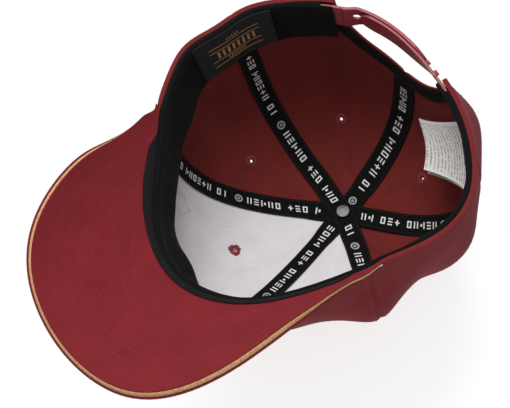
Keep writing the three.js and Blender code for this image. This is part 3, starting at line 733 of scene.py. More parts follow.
def wallGrid(columns, rows, startShare, topSpare=0.0):
    angle = columns[:, None] * np.ones(len(rows))
    start = np.asarray(startShare(columns))
    startLift = np.arctan2(start, outAt(columns, start))[:, None]
    lift = blendTo(startLift, (topLift(columns) - topSpare)[:, None], rows[None, :])
    share = shareAt(angle, lift)
    share[:, 0] = start
    return angle, share


footRows = np.concatenate([[0, 0.004, 0.01, 0.02], np.linspace(0.035, 1, panelWork["rows"])])


def eyeletFrame(degrees):
    angle = rad(degrees)
    share = shareAt(angle, rad(eyelet["angle"]))
    return inside(angle, share, 0.0), skinNormal(angle, share)


eyelet = {"angle": 51, "bore": 1.9}


def turnTo(direction):
    return Vector((0, 0, 1)).rotation_difference(directionToFrame(direction)).to_matrix().to_4x4()


def atFrame(point, direction):
    return Matrix.Translation(Vector(toFrame(point))) @ turnTo(direction)


def applyAll(obj):
    only(obj)
    bpy.ops.object.transform_apply(location=True, rotation=True, scale=True)


def cutRound(obj, point, direction, radius, reach=8):
    bpy.ops.mesh.primitive_cylinder_add(vertices=24, radius=radius / 1000, depth=2 * reach / 1000)
    cutter = bpy.context.object
    cutter.matrix_world = atFrame(point, direction)
    cutWith(obj, cutter)


# marks how far a point is on the cloth's inner face, where the crown material paints shade into the colour
def shadeInside(obj, count, outer, inner):
    flatOuter, flatInner = toFrame(outer.reshape(-1, 3)), toFrame(inner.reshape(-1, 3))
    tree = KDTree(len(flatOuter) * 2)
    for index, point in enumerate(np.concatenate([flatOuter, flatInner])):
        tree.insert(point, index)
    tree.balance()
    values = [1.0 if tree.find(vert.co)[1] >= len(flatOuter) else 0.0 for vert in obj.data.vertices]
    layer = obj.data.attributes.new("paintedShadeSide", "FLOAT", "POINT")
    layer.data.foreach_set("value", values)


for name, (start, end) in panelSpans.items():
    columns = panelColumns(start, end)
    angle, share = wallGrid(columns, footRows,
                            lambda a: archShare(a) if abs(end) == 180 else np.zeros(len(a)))
    dip = seamDip(angle, share)
    behind = smooth(np.abs(angle), rad(66), rad(74))
    hem = panelWork["hemThick"] * (1 - smooth(share * crown["height"], 7, 9.5)) * behind
    outer = inside(angle, share, dip - hem * 0.25)
    inner = inside(angle, share, crown["panelThick"] + hem * 0.75)
    cloth = sheetPiece("cloth_" + name, outer, inner, gridUv(outer), bevel=0.42)
    middle, normal = eyeletFrame((seams[start] + seams[end]) / 2)
    cutRound(cloth, middle, normal, eyelet["bore"] / 2)
    shadeInside(cloth, outer.shape[0] * outer.shape[1], outer, inner)
    place(cloth, "cap", "crown_cloth", crownTwill, [name])
    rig.sheet(cloth, held="stretched", **cutSize(outer))
print("crown panels made")

for name, (start, end) in {"buckram_left": (0, 60), "buckram_right": (0, -60)}.items():
    columns = panelColumns(start, end)
    angle, share = wallGrid(columns, footRows, lambda a: 1 / wallHeight(a))
    wrinkle = 0.12 * np.sin(angle * 31 + share * 5) * np.sin(share * 23 + angle * 4)
    wrinkle = wrinkle * smooth(share, 0.05, 0.3)
    outer = inside(angle, share, buckramDepth)
    inner = inside(angle, share, buckramDepth + crown["buckramThick"] + wrinkle)
    lining = sheetPiece("lining_" + name, outer, inner, gridUv(inner), bevel=0.2)
    middle, normal = eyeletFrame((seams[start] + seams[end]) / 2)
    cutRound(lining, middle, normal, eyelet["bore"] / 2)
    place(lining, "cap", "buckram", liningMaterial, [name])
    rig.sheet(lining, held="stretched", rests_on=["cloth_" + name.replace("buckram", "front") + "_panel"],
             **cutSize(outer))
print("lining made")

# seam tapes

tape = {"width": 13, "thick": 0.5, "foot": 4, "rows": 90, "stitchIn": 0.9}
tapeLegs = {
    "left_front": (60, tapeOverBuckram, 2.95), "front": (0, tapeOverBuckram, 2.4),
    "right_back": (-120, tapeOverPanel, 2.95), "back": (180, tapeOverPanel, 2.4),
}


def tapePoint(angle, share, across, depth):
    middle = inside(angle, share, depth)
    radius = np.hypot(middle[..., 0] - apex[0], middle[..., 1] - apex[1])
    sideways = np.stack([np.cos(angle), np.sin(angle), np.zeros_like(angle)], -1)
    straight = middle + sideways * across[..., None]
    followed = inside(angle + across / np.maximum(radius, tape["width"]), share, depth)
    return blendTo(straight, followed, smooth(radius, tape["width"], 2.2 * tape["width"])[..., None])


def tapeStations(degrees, startShare, endRadius, base, top, rows):
    angle = rad(seams[degrees])
    x, y = rimPoint(angle)
    reach = float(np.hypot(x, y))
    startLift = math.atan2(startShare, float(outAt(angle, startShare)))
    lifts = np.linspace(startLift, math.atan2(1, endRadius / reach), rows)
    share = shareAt(np.full(rows, angle), lifts)
    out = outAt(np.full(rows, angle), share) * reach
    depth = blendTo(base, top, 1 - smooth(out, 1.6 * tape["width"], 4 * tape["width"]))
    return np.full(rows, angle), share, depth


tapeRuns = {}
for name, (degrees, base, top) in tapeLegs.items():
    start = float(archShare(math.pi, closure["bindingWidth"] - 2)) if name == "back" else (
        tape["foot"] / float(wallHeight(rad(degrees))))
    tapeRuns["seam_tape_" + name] = tapeStations(degrees, start, 2.0, base, top, tape["rows"]) + (1,)
crossTop = tapeOverBuckram + 0.6
first = tapeStations(120, tape["foot"] / crown["height"], 2.0, tapeOverPanel, crossTop, tape["rows"])
second = tapeStations(-60, tape["foot"] / float(wallHeight(rad(-60))), 2.0, tapeOverBuckram, crossTop,
                      tape["rows"])
tapeRuns["seam_tape_cross"] = tuple(np.concatenate([a, b[::-1]]) for a, b in zip(first, second)) + (
    np.concatenate([np.ones(tape["rows"]), -np.ones(tape["rows"])]),)


def tapeGrid(run, across, extra):
    angle, share, depth, flip = run
    flip = np.ones(len(angle)) * flip
    a = angle[:, None] * np.ones(len(across))
    s = share[:, None] * np.ones(len(across))
    d = depth[:, None] + np.asarray(extra)[None, :] * np.ones(len(across))
    return tapePoint(a, s, flip[:, None] * across[None, :], d)


# a tape's inner face as a surface that marks and stitches are laid on: along and across in millimetres
def tapeFace(run):
    across = np.linspace(-tape["width"] / 2, tape["width"] / 2, 9)
    swell = 0.12 * (1 - (across / (tape["width"] / 2)) ** 2)
    outer = tapeGrid(run, across, np.zeros(9))
    grid = tapeGrid(run, across, tape["thick"] + swell)
    distances = lengths(grid[:, 4])
    normal = unit(grid - outer)

    def at(along, side, lift=0.0):
        i = np.interp(along, distances, np.arange(len(distances)))
        j = (np.asarray(side) + tape["width"] / 2) / tape["width"] * 8
        i, j = np.broadcast_arrays(np.clip(i, 0, len(distances) - 1.001), np.clip(j, 0, 7.999))
        i0, j0 = i.astype(int), j.astype(int)
        fi, fj = (i - i0)[..., None], (j - j0)[..., None]

        def take(g):
            return ((g[i0, j0] * (1 - fj) + g[i0, j0 + 1] * fj) * (1 - fi)
                    + (g[i0 + 1, j0] * (1 - fj) + g[i0 + 1, j0 + 1] * fj) * fi)
        n = unit(take(normal))
        return take(grid) + n * lift, n
    return at, float(distances[-1]), outer, grid


tapeFaces = {}
tapeStitches = []
tapeSides = {
    "seam_tape_front": ("front_left", "front_right"), "seam_tape_left_front": ("front_left", "side_left"),
    "seam_tape_right_back": ("side_right", "back_right"), "seam_tape_back": ("back_left", "back_right"),
    "seam_tape_cross": ("side_left", "back_left", "front_right", "side_right"),
}
for name, run in tapeRuns.items():
    at, length, outer, inner = tapeFace(run)
    ribbon = sheetPiece("tape_" + name.replace("seam_tape_", ""), outer, inner, gridUv(inner), bevel=0.12)
    place(ribbon, "cap", "seam_tape", tapeCloth, [name])
    tapeFaces[name] = (at, length)
    along = np.linspace(1, length - 1, 120)
    for side in (-1, 1):
        tapeStitches.append(at(along, np.full(120, side * (tape["width"] / 2 - tape["stitchIn"]))))
    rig.sheet(ribbon, flat=(tape["width"] / 1000, round(length / 1000, 3)), held="laid",
             rests_on=["cloth_" + side + "_panel" for side in tapeSides[name]])
print("seam tapes made")

# marks woven into the tapes: plain upright bars in groups with a ring between, which say nothing
tapeMark = {"height": 4.3, "wide": 2.9, "pitch": 4.5, "rise": 0.1, "ringOuter": 2.6,
            "ringInner": 1.7, "gap": 8.5, "space": 3.4}
markGroups = ("acgab", "ecb", "gabcea", "bd")
# each mark's strokes: along, across, length and height, as shares of the mark's own width and height
markStrokes = {
    "a": ((-0.36, 0, 0.28, 1), (0.36, 0, 0.28, 1)),
    "b": ((-0.36, 0, 0.28, 1), (0.36, 0, 0.28, 1), (0, -0.41, 0.5, 0.18), (0, 0.41, 0.5, 0.18)),
    "c": ((0, -0.41, 1, 0.18), (0, 0, 1, 0.18), (0, 0.41, 1, 0.18)),
    "d": ((0, 0, 0.3, 1),),
    "e": ((0, 0, 0.28, 0.8), (-0.32, 0, 0.36, 0.18), (0.32, 0, 0.36, 0.18)),
    "g": ((-0.36, 0, 0.28, 1), (0.3, 0, 0.4, 0.4)),
}


boxFaces = ((0, 1, 2, 3), (7, 6, 5, 4), (0, 4, 5, 1), (1, 5, 6, 2), (2, 6, 7, 3), (3, 7, 4, 0))


def blockOn(at, along, side, wide, tall, rise, points, faces):
    base = len(points) * 8
    alongs = np.array([-1, 1, 1, -1]) * wide / 2 + along
    sides = np.array([-1, -1, 1, 1]) * tall / 2 + side
    low, _ = at(alongs, sides, 0.02)
    high, _ = at(alongs, sides, rise)
    points.append(np.concatenate([low, high]))
    for f in boxFaces:
        faces.append(tuple(i + base for i in f))


def ringOn(at, along, side, outer, innerRadius, rise, store, sides=20):
    turns = np.arange(sides) / sides * 2 * math.pi
    rows = []
    for radius, lift in ((outer, 0.02), (outer, rise), (innerRadius, rise), (innerRadius, 0.02)):
        rows.append(at(along + radius * np.cos(turns), side + radius * np.sin(turns), lift)[0])
    base = sum(len(p) for p in store["points"])
    store["points"].append(np.concatenate(rows))
    for k in range(4):
        m = (k + 1) % 4
        for i in range(sides):
            j = (i + 1) % sides
            store["faces"].append((base + k * sides + i, base + k * sides + j, base + m * sides + j,
                                   base + m * sides + i))


barPoints, barFaces = [], []
rings = {"points": [], "faces": []}
for name, (at, length) in tapeFaces.items():
    along = 11.0
    group = 0
    top = length - (9 if name != "seam_tape_cross" else 14)
    while along < top:
        word = markGroups[group % len(markGroups)]
        for letter in word:
            if along > top:
                break
            if name != "seam_tape_cross" or abs(along - length / 2) > 8:
                for x, y, wide, tall in markStrokes[letter]:
                    blockOn(at, along + x * tapeMark["wide"], y * tapeMark["height"], wide * tapeMark["wide"],
                            tall * tapeMark["height"], tapeMark["rise"], barPoints, barFaces)
            along += tapeMark["pitch"]
        group += 1
        along += tapeMark["space"]
        if group % len(markGroups) == 0 and along < top and (
                name != "seam_tape_cross" or abs(along + 1.5 - length / 2) > 9):
            ringOn(at, along + 1.5, 0, tapeMark["ringOuter"], tapeMark["ringInner"], tapeMark["rise"], rings)
            ringOn(at, along + 1.5, 0, 0.9, 0.3, tapeMark["rise"], rings)
            along += tapeMark["gap"]


def orientedFaces(points, faces, each):
    flipped = volumeOf(points, faces[:each]) < 0
    return [f[::-1] for f in faces] if flipped else faces


allBars = np.concatenate(barPoints)
bars = meshFrom("tape_bars", allBars, orientedFaces(allBars, barFaces, 6))
place(bars, "cap", "thread", threadWhite)
allRings = np.concatenate(rings["points"])
ringPiece = meshFrom("tape_rings", allRings, orientedFaces(allRings, rings["faces"], 80))
place(ringPiece, "cap", "thread", threadGrey)
sewn = stitchRows("tape_stitches", tapeStitches, 3.0, 2.0, 0.28)
place(sewn, "cap", "thread", threadDark)
print("tape marks and stitches made")

# sweatband

band = {"height": 33, "thick": 1.8, "rows": 18, "columns": 200, "topWave": 1.1, "standOff": 2.2}


# where the band lies tight against the crown, on the wearer's right of the visor
def tightness(angle):
    return smooth(-angle, rad(6), rad(24)) * (1 - smooth(-angle, rad(74), rad(92)))


def sweatbandFace(angle):
    turn = np.abs(angle)
    near = smooth(turn, closureFoot - rad(22), closureFoot - rad(10))
    return blendTo(sweatbandDepth, max(sweatbandDepth, sweatbandOverStrap), near) - 1.35 * tightness(angle)


# how far the band's upper part stands away from the crown
def bandLeave(angle, v):
    frontness = 1 - smooth(np.abs(angle), rad(55), rad(95))
    loose = (0.5 + 0.5 * np.sin(9 * angle + 0.6)) * band["standOff"] * (0.25 + 0.75 * frontness)
    for degrees, amount, wide in ((76, 5.5, 15), (15, 6.5, 13)):
        loose = loose + amount * np.exp(-(turnFrom(angle, degrees) / wide) ** 2)
    return smooth(v, 0.3, 1.0) * loose


def bandPoint(angle, v, layer):
    frontness = 1 - smooth(np.abs(angle), rad(55), rad(95))
    wave = band["topWave"] * (np.sin(6.3 * angle + 1.0) + 0.5 * np.sin(14 * angle) + 0.3 * np.sin(31 * angle))
    dropped = 5.0 * np.exp(-(turnFrom(angle, -38) / 20) ** 2)
    height = band["height"] + (0.35 + 0.65 * frontness) * wave - dropped
    leave = bandLeave(angle, v)
    pucker = 0.28 * np.sin(64 * angle + 2 * np.sin(11 * angle)) * np.sin(np.pi * np.clip(v, 0, 1)) ** 0.5
    swell = 0.7 * np.sin(np.pi * np.clip(v, 0, 1)) ** 0.7
    depth = sweatbandFace(angle) + leave + layer * (band["thick"] * 0.75 + pucker + swell * 0.6)
    # a ridge where the band is folded under along its foot
    depth = depth + layer * 0.5 * np.exp(-((v - 0.07) / 0.035) ** 2)
    return inside(angle, v * height / wallHeight(angle), depth)


strapRootTurn = (closure["halfWidth"] + closure["strapRoot"]) / crown["halfDepth"]
bandEnd = closureFoot - 0.15 / crown["halfDepth"]
bandColumns = np.linspace(-bandEnd, bandEnd, band["columns"])
bandRows = np.concatenate([[0, 0.02, 0.045, 0.07, 0.095, 0.12], np.linspace(0.17, 1, band["rows"])])
a, v = np.meshgrid(bandColumns, bandRows, indexing="ij")
bandOuter, bandInner = bandPoint(a, v, 0.0), bandPoint(a, v, 1.0)
sweat = sheetPiece("sweatband_cloth", bandOuter, bandInner, gridUv(bandInner), bevel=0.35)
place(sweat, "cap", "sweatband_cloth", sweatCloth, ["sweatband"])
bandLength = float(lengths(bandOuter[:, 0])[-1]) / 1000


def bandRow(v, lift=0.0):
    at = np.full(len(bandColumns), v)
    face = bandPoint(bandColumns, at, 1.0)
    normal = unit(face - bandPoint(bandColumns, at, 0.0))
    return face + normal * lift, normal


# the band's lower edge, rolled under so that it meets the crown's own edge
rollTurns = np.linspace(-math.pi + strapRootTurn, math.pi - strapRootTurn, 220)
rollRound = np.linspace(0, 2 * math.pi, 13)[:-1]
rollTight = tightness(rollTurns)[:, None]
reachOut = blendTo(2.4, 1.75, smooth(np.abs(rollTurns), rad(66), rad(74)))[:, None] - 0.75 * rollTight
rollDepth = 5.75 - 1.6 * rollTight - reachOut + reachOut * np.cos(rollRound)[None, :]
rollHigh = 0.9 + (1.4 - 0.5 * rollTight) * np.sin(rollRound)[None, :]
rollGrid = inside(rollTurns[:, None] * np.ones(12), 0.0, rollDepth)
rollGrid[..., 2] += rollHigh
rollFaces = [(12 * i + k, 12 * (i + 1) + k, 12 * (i + 1) + (k + 1) % 12, 12 * i + (k + 1) % 12)
             for i in range(len(rollTurns) - 1) for k in range(12)]
rollEnds = [tuple(range(12)), tuple(range(12 * len(rollTurns) - 1, 12 * (len(rollTurns) - 1) - 1, -1))]
rollPoints = rollGrid.reshape(-1, 3)
if volumeOf(rollPoints, rollFaces + rollEnds) < 0:
    rollFaces, rollEnds = [f[::-1] for f in rollFaces], [f[::-1] for f in rollEnds]
rollUv = np.stack(np.broadcast_arrays(rollTurns[:, None] * 92, rollRound[None, :] * 2), -1)
rollUv = rollUv.reshape(-1, 2) / 1000
fold = meshFrom("sweatband_fold", rollPoints, rollFaces + rollEnds, rollUv)
place(fold, "cap", "sweatband_cloth", sweatCloth, angle=60)

outlineTurn = np.linspace(0, 2 * math.pi, 90)
outlineWide = 6.5 + 1.2 * np.sin(3 * outlineTurn) + np.sin(5 * outlineTurn + 1)
outlineAngle = rad(47) + outlineWide * np.cos(outlineTurn) / 92
outlineShare = 0.47 + (11 + 2 * np.sin(4 * outlineTurn + 0.5)) * np.sin(outlineTurn) / crown["height"]
onLining = inside(outlineAngle, outlineShare, buckramDepth + crown["buckramThick"] + 0.1)
place(stitchRows("lining_outline", [(onLining, -skinNormal(outlineAngle, outlineShare))], 1.9, 1.5, 0.2), "cap",
      "thread", threadBrown)

place(stitchRows("sweatband_stitches", [bandRow(0.13)], 3.2, 2.2, 0.35), "cap", "thread", threadDark)
print("sweatband made")

# closure: binding and stitches

bindingTurns = np.linspace(0, math.pi, 110)
bindingAcross = np.linspace(0, 1, 9)


def bindingPoint(turn, v, depth):
    spare = blendTo(crown["layerGap"], closure["bindingWidth"], v)
    half = archTurn + spare / crown["halfDepth"]
    angle = math.pi - half * np.cos(turn)
    share = ((closure["height"] + spare) / crown["height"]) * np.sin(turn) + 0.5 / crown["height"]
    return inside(angle, share, depth)


t, v = np.meshgrid(bindingTurns, bindingAcross, indexing="ij")
swell = 0.35 * np.sin(np.pi * v) ** 0.6
bindOuter = bindingPoint(t, v, tapeOverPanel)
bindInner = bindingPoint(t, v, tapeOverPanel + closure["bindingThick"] * 0.7 + swell)
binding = sheetPiece("binding_cloth", bindOuter, bindInner, gridUv(bindInner), bevel=0.2)
place(binding, "cap", "seam_tape", tapeCloth, ["closure_binding"])
bindLength = float(lengths(bindOuter[:, 4])[-1]) / 1000
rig.sheet(binding, flat=((closure["bindingWidth"] + 1.5) / 1000, round(bindLength, 3)), held="laid",
         rests_on=["cloth_back_left_panel", "cloth_back_right_panel"])
bindRows = []
for v in (0.13, 0.87):
    at = np.full(len(bindingTurns), v)
    swell = 0.35 * math.sin(math.pi * v) ** 0.6
    face = bindingPoint(bindingTurns, at, tapeOverPanel + closure["bindingThick"] * 0.7 + swell)
    bindRows.append((face, unit(face - bindingPoint(bindingTurns, at, tapeOverPanel - 1.0))))
place(stitchRows("binding_stitches", bindRows, 3.0, 2.0, 0.3), "cap", "thread", threadDark)

# stitches on the outside: two rows beside each seam, two round the arch, one along the rim
seamSewing = {"beside": 3.2, "pitch": 3.1, "length": 2.2, "width": 0.42, "archRows": (2.2, 7.4), "rimRow": 2.6}
outsideRows = []
for degrees in (0, 60, 120, 180, -120, -60):
    start = float(archShare(math.pi, 1.2)) if degrees == 180 else 0.02
    angle, share, depth = tapeStations(degrees, start, 7.5, 0.0, 0.0, 110)
    for side in (-1, 1):
        across = np.full(len(angle), side * seamSewing["beside"])
        points = tapePoint(angle, share, across, depth + 0.02)
        normals = unit(tapePoint(angle, share, across, depth - 1.0) - points)
        outsideRows.append((points, normals))
for spare in seamSewing["archRows"]:
    half = archTurn + spare / crown["halfDepth"]
    angle = math.pi - half * np.cos(np.linspace(0.03, math.pi - 0.03, 140))
    share = ((closure["height"] + spare) / crown["height"]) * np.sin(np.linspace(0.03, math.pi - 0.03, 140))
    outsideRows.append((inside(angle, share, 0.02), skinNormal(angle, share)))
for side in (-1, 1):
    angle = side * np.linspace(rad(visor["endAngle"] + 3), closureFoot - 0.03, 160)
    share = seamSewing["rimRow"] / wallHeight(angle)
    outsideRows.append((inside(angle, share, 0.02), skinNormal(angle, share)))
place(stitchRows("crown_stitches", outsideRows, seamSewing["pitch"], seamSewing["length"], seamSewing["width"]),
      "cap", "thread", threadMaroon)
print("closure edge and crown stitches made")

# the visor's edge as worn: degrees, how much further it reaches, span
edgeWear = ((-43, -8.2, 19), (-35, -7.6, 14), (-31, -5.6, 11), (-51, -2.0, 9), (49, -2.4, 9),
            (35, -2.2, 10), (20, 0.6, 9), (5, -2.9, 13), (-12, 1.4, 7))


def visorReachAt(angle):
    turn = (math.pi / 2) * np.clip(angle / rad(visor["endAngle"]), -1, 1)
    wear = sum(amount * np.exp(-(turnFrom(angle, degrees) / wide) ** 2) for degrees, amount, wide in edgeWear)
    wear = wear * smooth(np.cos(turn), 0.05, 0.3) - 2.3 * smooth(np.abs(angle), rad(62), rad(69.5))
    return wear + visor["endReach"] + (visor["reach"] - visor["endReach"]) * (
        np.maximum(np.cos(turn), 0) ** visor["roundness"])


def visorPoint(angle, distance, lift):
    angle, distance, lift = np.broadcast_arrays(*(np.asarray(q, float) for q in (angle, distance, lift)))
    px, py = rimPoint(angle)
    x = px + distance * np.sin(visor["spread"] * angle)
    y = py - distance * np.cos(visor["spread"] * angle)
    slope = -x / np.sqrt(visor["curveRadius"] ** 2 - x * x)
    normal = unit(np.stack([-slope, np.full_like(x, -math.tan(rad(visor["pitch"]))), np.ones_like(x)], -1))
    square = smooth(distance, 2, 30)[..., None]
    up = unit(blendTo(np.array([0.0, 0.0, 1.0]), normal, square))
    return np.stack([x, y, visorZ(x, y)], -1) + up * lift[..., None]


visorTurns = np.linspace(-rad(visor["endAngle"]), rad(visor["endAngle"]), 121)
boardLift = visor["coverThick"] + crown["layerGap"]
overLift = boardLift + visor["boardThick"] + crown["layerGap"]
stripInner = visor["edgeStrip"] + crown["layerGap"]
visorSewing = {"first": 9.0, "gap": 7.0, "rows": 7, "pitch": 3.4, "length": 2.3, "width": 0.36, "dip": 0.16}
stitchLines = [visorSewing["first"] + k * visorSewing["gap"] for k in range(visorSewing["rows"])]


# the cloth dips a little along each row of stitches
def visorDip(angle, distance):
    fromEdge = visorReachAt(angle) - distance
    dip = sum(np.exp(-((fromEdge - line) / 1.1) ** 2) for line in stitchLines)
    return visorSewing["dip"] * dip * smooth(distance, 2, 8)


def visorSheet(name, lift, thick, spare, rows, bevel, dipUnder=0.0, dipOver=0.0, tuck=0.0):
    reach = np.maximum(visorReachAt(visorTurns) - spare, visor["start"] + 0.4)
    v = np.concatenate([np.linspace(0, 0.9, rows), np.linspace(0.92, 1, 8)])
    distance = blendTo(visor["start"], reach[:, None], v[None, :])
    if tuck:                             # the seam allowance runs in under the crown's edge
        distance = np.concatenate([distance[:, :1] - tuck, distance[:, :1] - tuck * 0.5, distance], axis=1)
    angle = visorTurns[:, None] * np.ones(distance.shape[1])
    dip = visorDip(angle, distance)
    if tuck:
        lift = lift - 0.8 * (1 - smooth(distance, -1.0, 3.5))
    under = visorPoint(angle, distance, lift + dipUnder * dip)
    over = visorPoint(angle, distance, lift + thick - dipOver * dip)
    uv = np.stack([angle * 130, distance], -1)
    return sheetPiece(name, under, over, uv, bevel), under


underCover, underGrid = visorSheet("visor_under_cloth", 0, visor["coverThick"], 0.3, 46, 0.3, dipUnder=1,
                                   tuck=2.3)
place(underCover, "cap", "visor_cloth", visorTwill, ["visor_under_cover"])
visorArea = areaOf(underGrid)
flatVisor = (0.196, 0.096)
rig.sheet(underCover, flat=flatVisor, held="stretched", rests_on=["visor_card"], area=visorArea)
board, _ = visorSheet("visor_card", boardLift, visor["boardThick"], stripInner, 24, 0.4)
place(board, "cap", "visor_board", boardMaterial, ["visor_board"])
topCover, _ = visorSheet("visor_top_cloth", overLift, visor["coverThick"], -0.5, 46, 0.3, dipOver=1)
place(topCover, "cap", "visor_cloth", visorTwill, ["visor_top_cover"])
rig.sheet(topCover, flat=flatVisor, held="stretched", rests_on=["visor_card"], area=visorArea)

v = np.linspace(0, 1, 5)
angle = visorTurns[:, None] * np.ones(5)
distance = visorReachAt(visorTurns)[:, None] - blendTo(visor["edgeStrip"], 0.0, v[None, :])
strip = sheetPiece("visor_cork_strip", visorPoint(angle, distance, visor["coverThick"] - 0.05),
                   visorPoint(angle, distance, overLift - crown["layerGap"]),
                   np.stack([angle * 130, distance], -1), 0.35)
place(strip, "cap", "cork", corkStrip, ["visor_edge_strip"])

# the sweatband's turned edge lies on the visor's underside, widest on the wearer's left
flangeTurns = np.linspace(-rad(62), rad(62), 130)
flangeReach = 0.2 + 2.6 * np.exp(-(turnFrom(flangeTurns, 40) / 21) ** 2) + 0.9 * np.exp(
    -(turnFrom(flangeTurns, 4) / 12) ** 2)
v = np.linspace(0, 1, 12)
angle = flangeTurns[:, None] * np.ones(12)
flangeReach = blendTo(flangeReach, -1.5, smooth(np.abs(flangeTurns), rad(52), rad(62)))
distance = blendTo(-2.6, flangeReach[:, None], v[None, :])
tucked = 0.8 * (1 - smooth(distance, -1.0, 3.5))
puff = 0.5 * np.sin(np.pi * v)[None, :] ** 0.7
flangeUv = np.stack([angle * 100, distance], -1)
flange = sheetPiece("sweatband_flange", visorPoint(angle, distance, -0.75 - tucked - puff),
                    visorPoint(angle, distance, -0.08 - tucked), flangeUv, 0.2)
place(flange, "cap", "sweatband_cloth", foldCloth)
# the fold and this edge are one cut of cloth with the band, whose flat height is its face alone
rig.sheet(sweat, flat=(round(bandLength, 3), band["height"] / 1000), held="laid",
         rests_on=["cloth_side_left_panel", "cloth_side_right_panel",
                   "lining_buckram_left", "lining_buckram_right"],
         with_pieces=[fold, flange])

for name, lift, out in (("visor_under_stitches", 0.0, -1),
                        ("visor_top_stitches", overLift + visor["coverThick"], 1)):
    rows = []
    for line in stitchLines:
        reach = visorReachAt(visorTurns) - line
        keep = reach > 4
        angle = np.linspace(visorTurns[keep][0], visorTurns[keep][-1], 200)
        distance = visorReachAt(angle) - line
        dip = visorSewing["dip"]
        points = visorPoint(angle, distance, lift - out * dip)
        normals = unit(visorPoint(angle, distance, lift + out * 1.0) - visorPoint(angle, distance, lift))
        rows.append((points, normals))
    place(stitchRows(name, rows, visorSewing["pitch"], visorSewing["length"], visorSewing["width"]),
          "cap", "thread", threadMaroon)
print("visor made")

# button, rivet and eyelets

button = {"diameter": 14, "height": 4.5, "rise": 0.2}
upCap = (0, 0, 1)


def selectFaces(obj, test):
    mode("OBJECT")
    for p in obj.data.polygons:
        p.select = bool(test(p))
    for e in obj.data.edges:
        e.select = False
    mode("EDIT")
    bpy.ops.mesh.select_mode(type="FACE")


bpy.ops.mesh.primitive_uv_sphere_add(segments=40, ring_count=20, radius=0.001)
knob = bpy.context.object
knob.name = "button_cloth"
mode("EDIT")
bpy.ops.mesh.select_all(action="SELECT")
bpy.ops.mesh.bisect(plane_co=(0, 0, 0), plane_no=(0, 0, 1), clear_inner=True, use_fill=True)
mode("OBJECT")
for vert in knob.data.vertices:        # a flat-topped dome with a soft shoulder and faint gathers
    x, y, z = vert.co * 1000
    r = math.hypot(x, y)
    turn = math.atan2(y, x)
    swell = 1 + 0.012 * math.sin(12 * turn) * (1 - z)
    vert.co = Vector((x * swell * button["diameter"] / 2, y * swell * button["diameter"] / 2,
                      (max(z, 0) ** 0.75) * button["height"] * 0.96)) / 1000
knob.matrix_world = atFrame(apex + np.array([0, 0, button["rise"]]), upCap)
applyAll(knob)
addBevel(knob, 0.5, 3, 60)
clothByObject = clothMaterial("buttonTwill", finish["crownMaroon"], source="Object")
place(knob, "cap", "crown_cloth", clothByObject, ["top_button"])

rivet = {"head": 8, "height": 1.4, "shank": 3}
headTop = -(tapeOverBuckram + 0.6 + 0.8 + crown["layerGap"]) + 0.35
bpy.ops.mesh.primitive_cylinder_add(vertices=40, radius=rivet["head"] / 2000, depth=rivet["height"] / 1000)
stud = bpy.context.object
stud.name = "rivet_head"
selectFaces(stud, lambda p: p.normal.z < -0.9)     # the head faces down into the crown
bpy.ops.mesh.inset(thickness=0.0007)
bpy.ops.transform.translate(value=(0, 0, -0.00035))
bpy.ops.mesh.inset(thickness=0.0011)
bpy.ops.transform.translate(value=(0, 0, -0.0003))
bpy.ops.mesh.inset(thickness=0.0006)
bpy.ops.transform.translate(value=(0, 0, 0.0004))
selectFaces(stud, lambda p: p.normal.z > 0.9)
bpy.ops.mesh.inset(thickness=(rivet["head"] - rivet["shank"]) / 2000)
bpy.ops.mesh.extrude_region_move(TRANSFORM_OT_translate={"value": (0, 0, 0.0036)})
mode("OBJECT")
stud.matrix_world = atFrame(apex + np.array([0, 0, headTop - rivet["height"] / 2]), upCap)
applyAll(stud)
addBevel(stud, 0.14, 3, 30)
place(stud, "cap", "rivet_steel", steelMaterial, ["button_rivet"])


# an embroidered ring: a flat torus with a rib for each turn of thread
def threadRing(name, ribs, wobble, flat):
    bpy.ops.mesh.primitive_torus_add(major_segments=ribs * 4, minor_segments=10,
                                     major_radius=0.00255, minor_radius=0.00112)
    ring = bpy.context.object
    ring.name = name
    thick = 1.25 if wobble > 0.3 else 1.0
    for vert in ring.data.vertices:
        x, y, z = vert.co * 1000
        turn = math.atan2(y, x)
        r = math.hypot(x, y)
        rib = 1 + 0.13 * math.cos(ribs * turn)
        away = (r - 2.55) * rib * thick
        loose = wobble * (math.sin(3 * turn + 0.4) + 0.6 * math.sin(7 * turn + 2.0))
        newR = 2.55 + away * (1 + 0.35 * loose) + 0.25 * loose
        vert.co = Vector((newR * math.cos(turn), newR * math.sin(turn), z * flat * rib)) / 1000
    return ring


for panel, (start, end) in panelSpans.items():
    name = panel.replace("_panel", "")
    middle, normal = eyeletFrame((seams[start] + seams[end]) / 2)
    lined = name.startswith("front")
    wall = buckramDepth + crown["buckramThick"] if lined else crown["panelThick"]
    outerRing = threadRing("eyelet_ring_" + name, 16, 0.05, 0.55)
    outerRing.matrix_world = atFrame(middle + normal * 0.15, normal)
    applyAll(outerRing)
    innerRing = threadRing("eyelet_back_" + name, 13, 0.55 if lined else 0.2, 0.5)
    innerRing.matrix_world = atFrame(middle - normal * (wall + 0.15), -normal)
    applyAll(innerRing)
    place(outerRing, "cap", "thread", threadMaroon, ["eyelet_" + name])
    place(innerRing, "cap", "thread", threadMaroon)
print("button, rivet and eyelets made")

# straps

strapMiddle = closure["strapRise"] + closure["strapWidth"] / 2
holeStrapDepth = strapDepth - closure["snapGap"] - closure["strapThick"]
tipRadius = closure["strapWidth"] / 2
archAtStrapTop = closure["halfWidth"] * math.sqrt(
    1 - ((closure["strapRise"] + closure["strapWidth"]) / closure["height"]) ** 2)
strapBend = archAtStrapTop - closure["strapSet"]
strapEnd = closure["halfWidth"] + closure["strapRoot"]
pegPlaces = [(closure["pegsEngaged"] - 1) * closure["pegPitch"] / 2 + closure["snapOffset"] - i * closure["pegPitch"]
             for i in range(closure["pegCount"])]


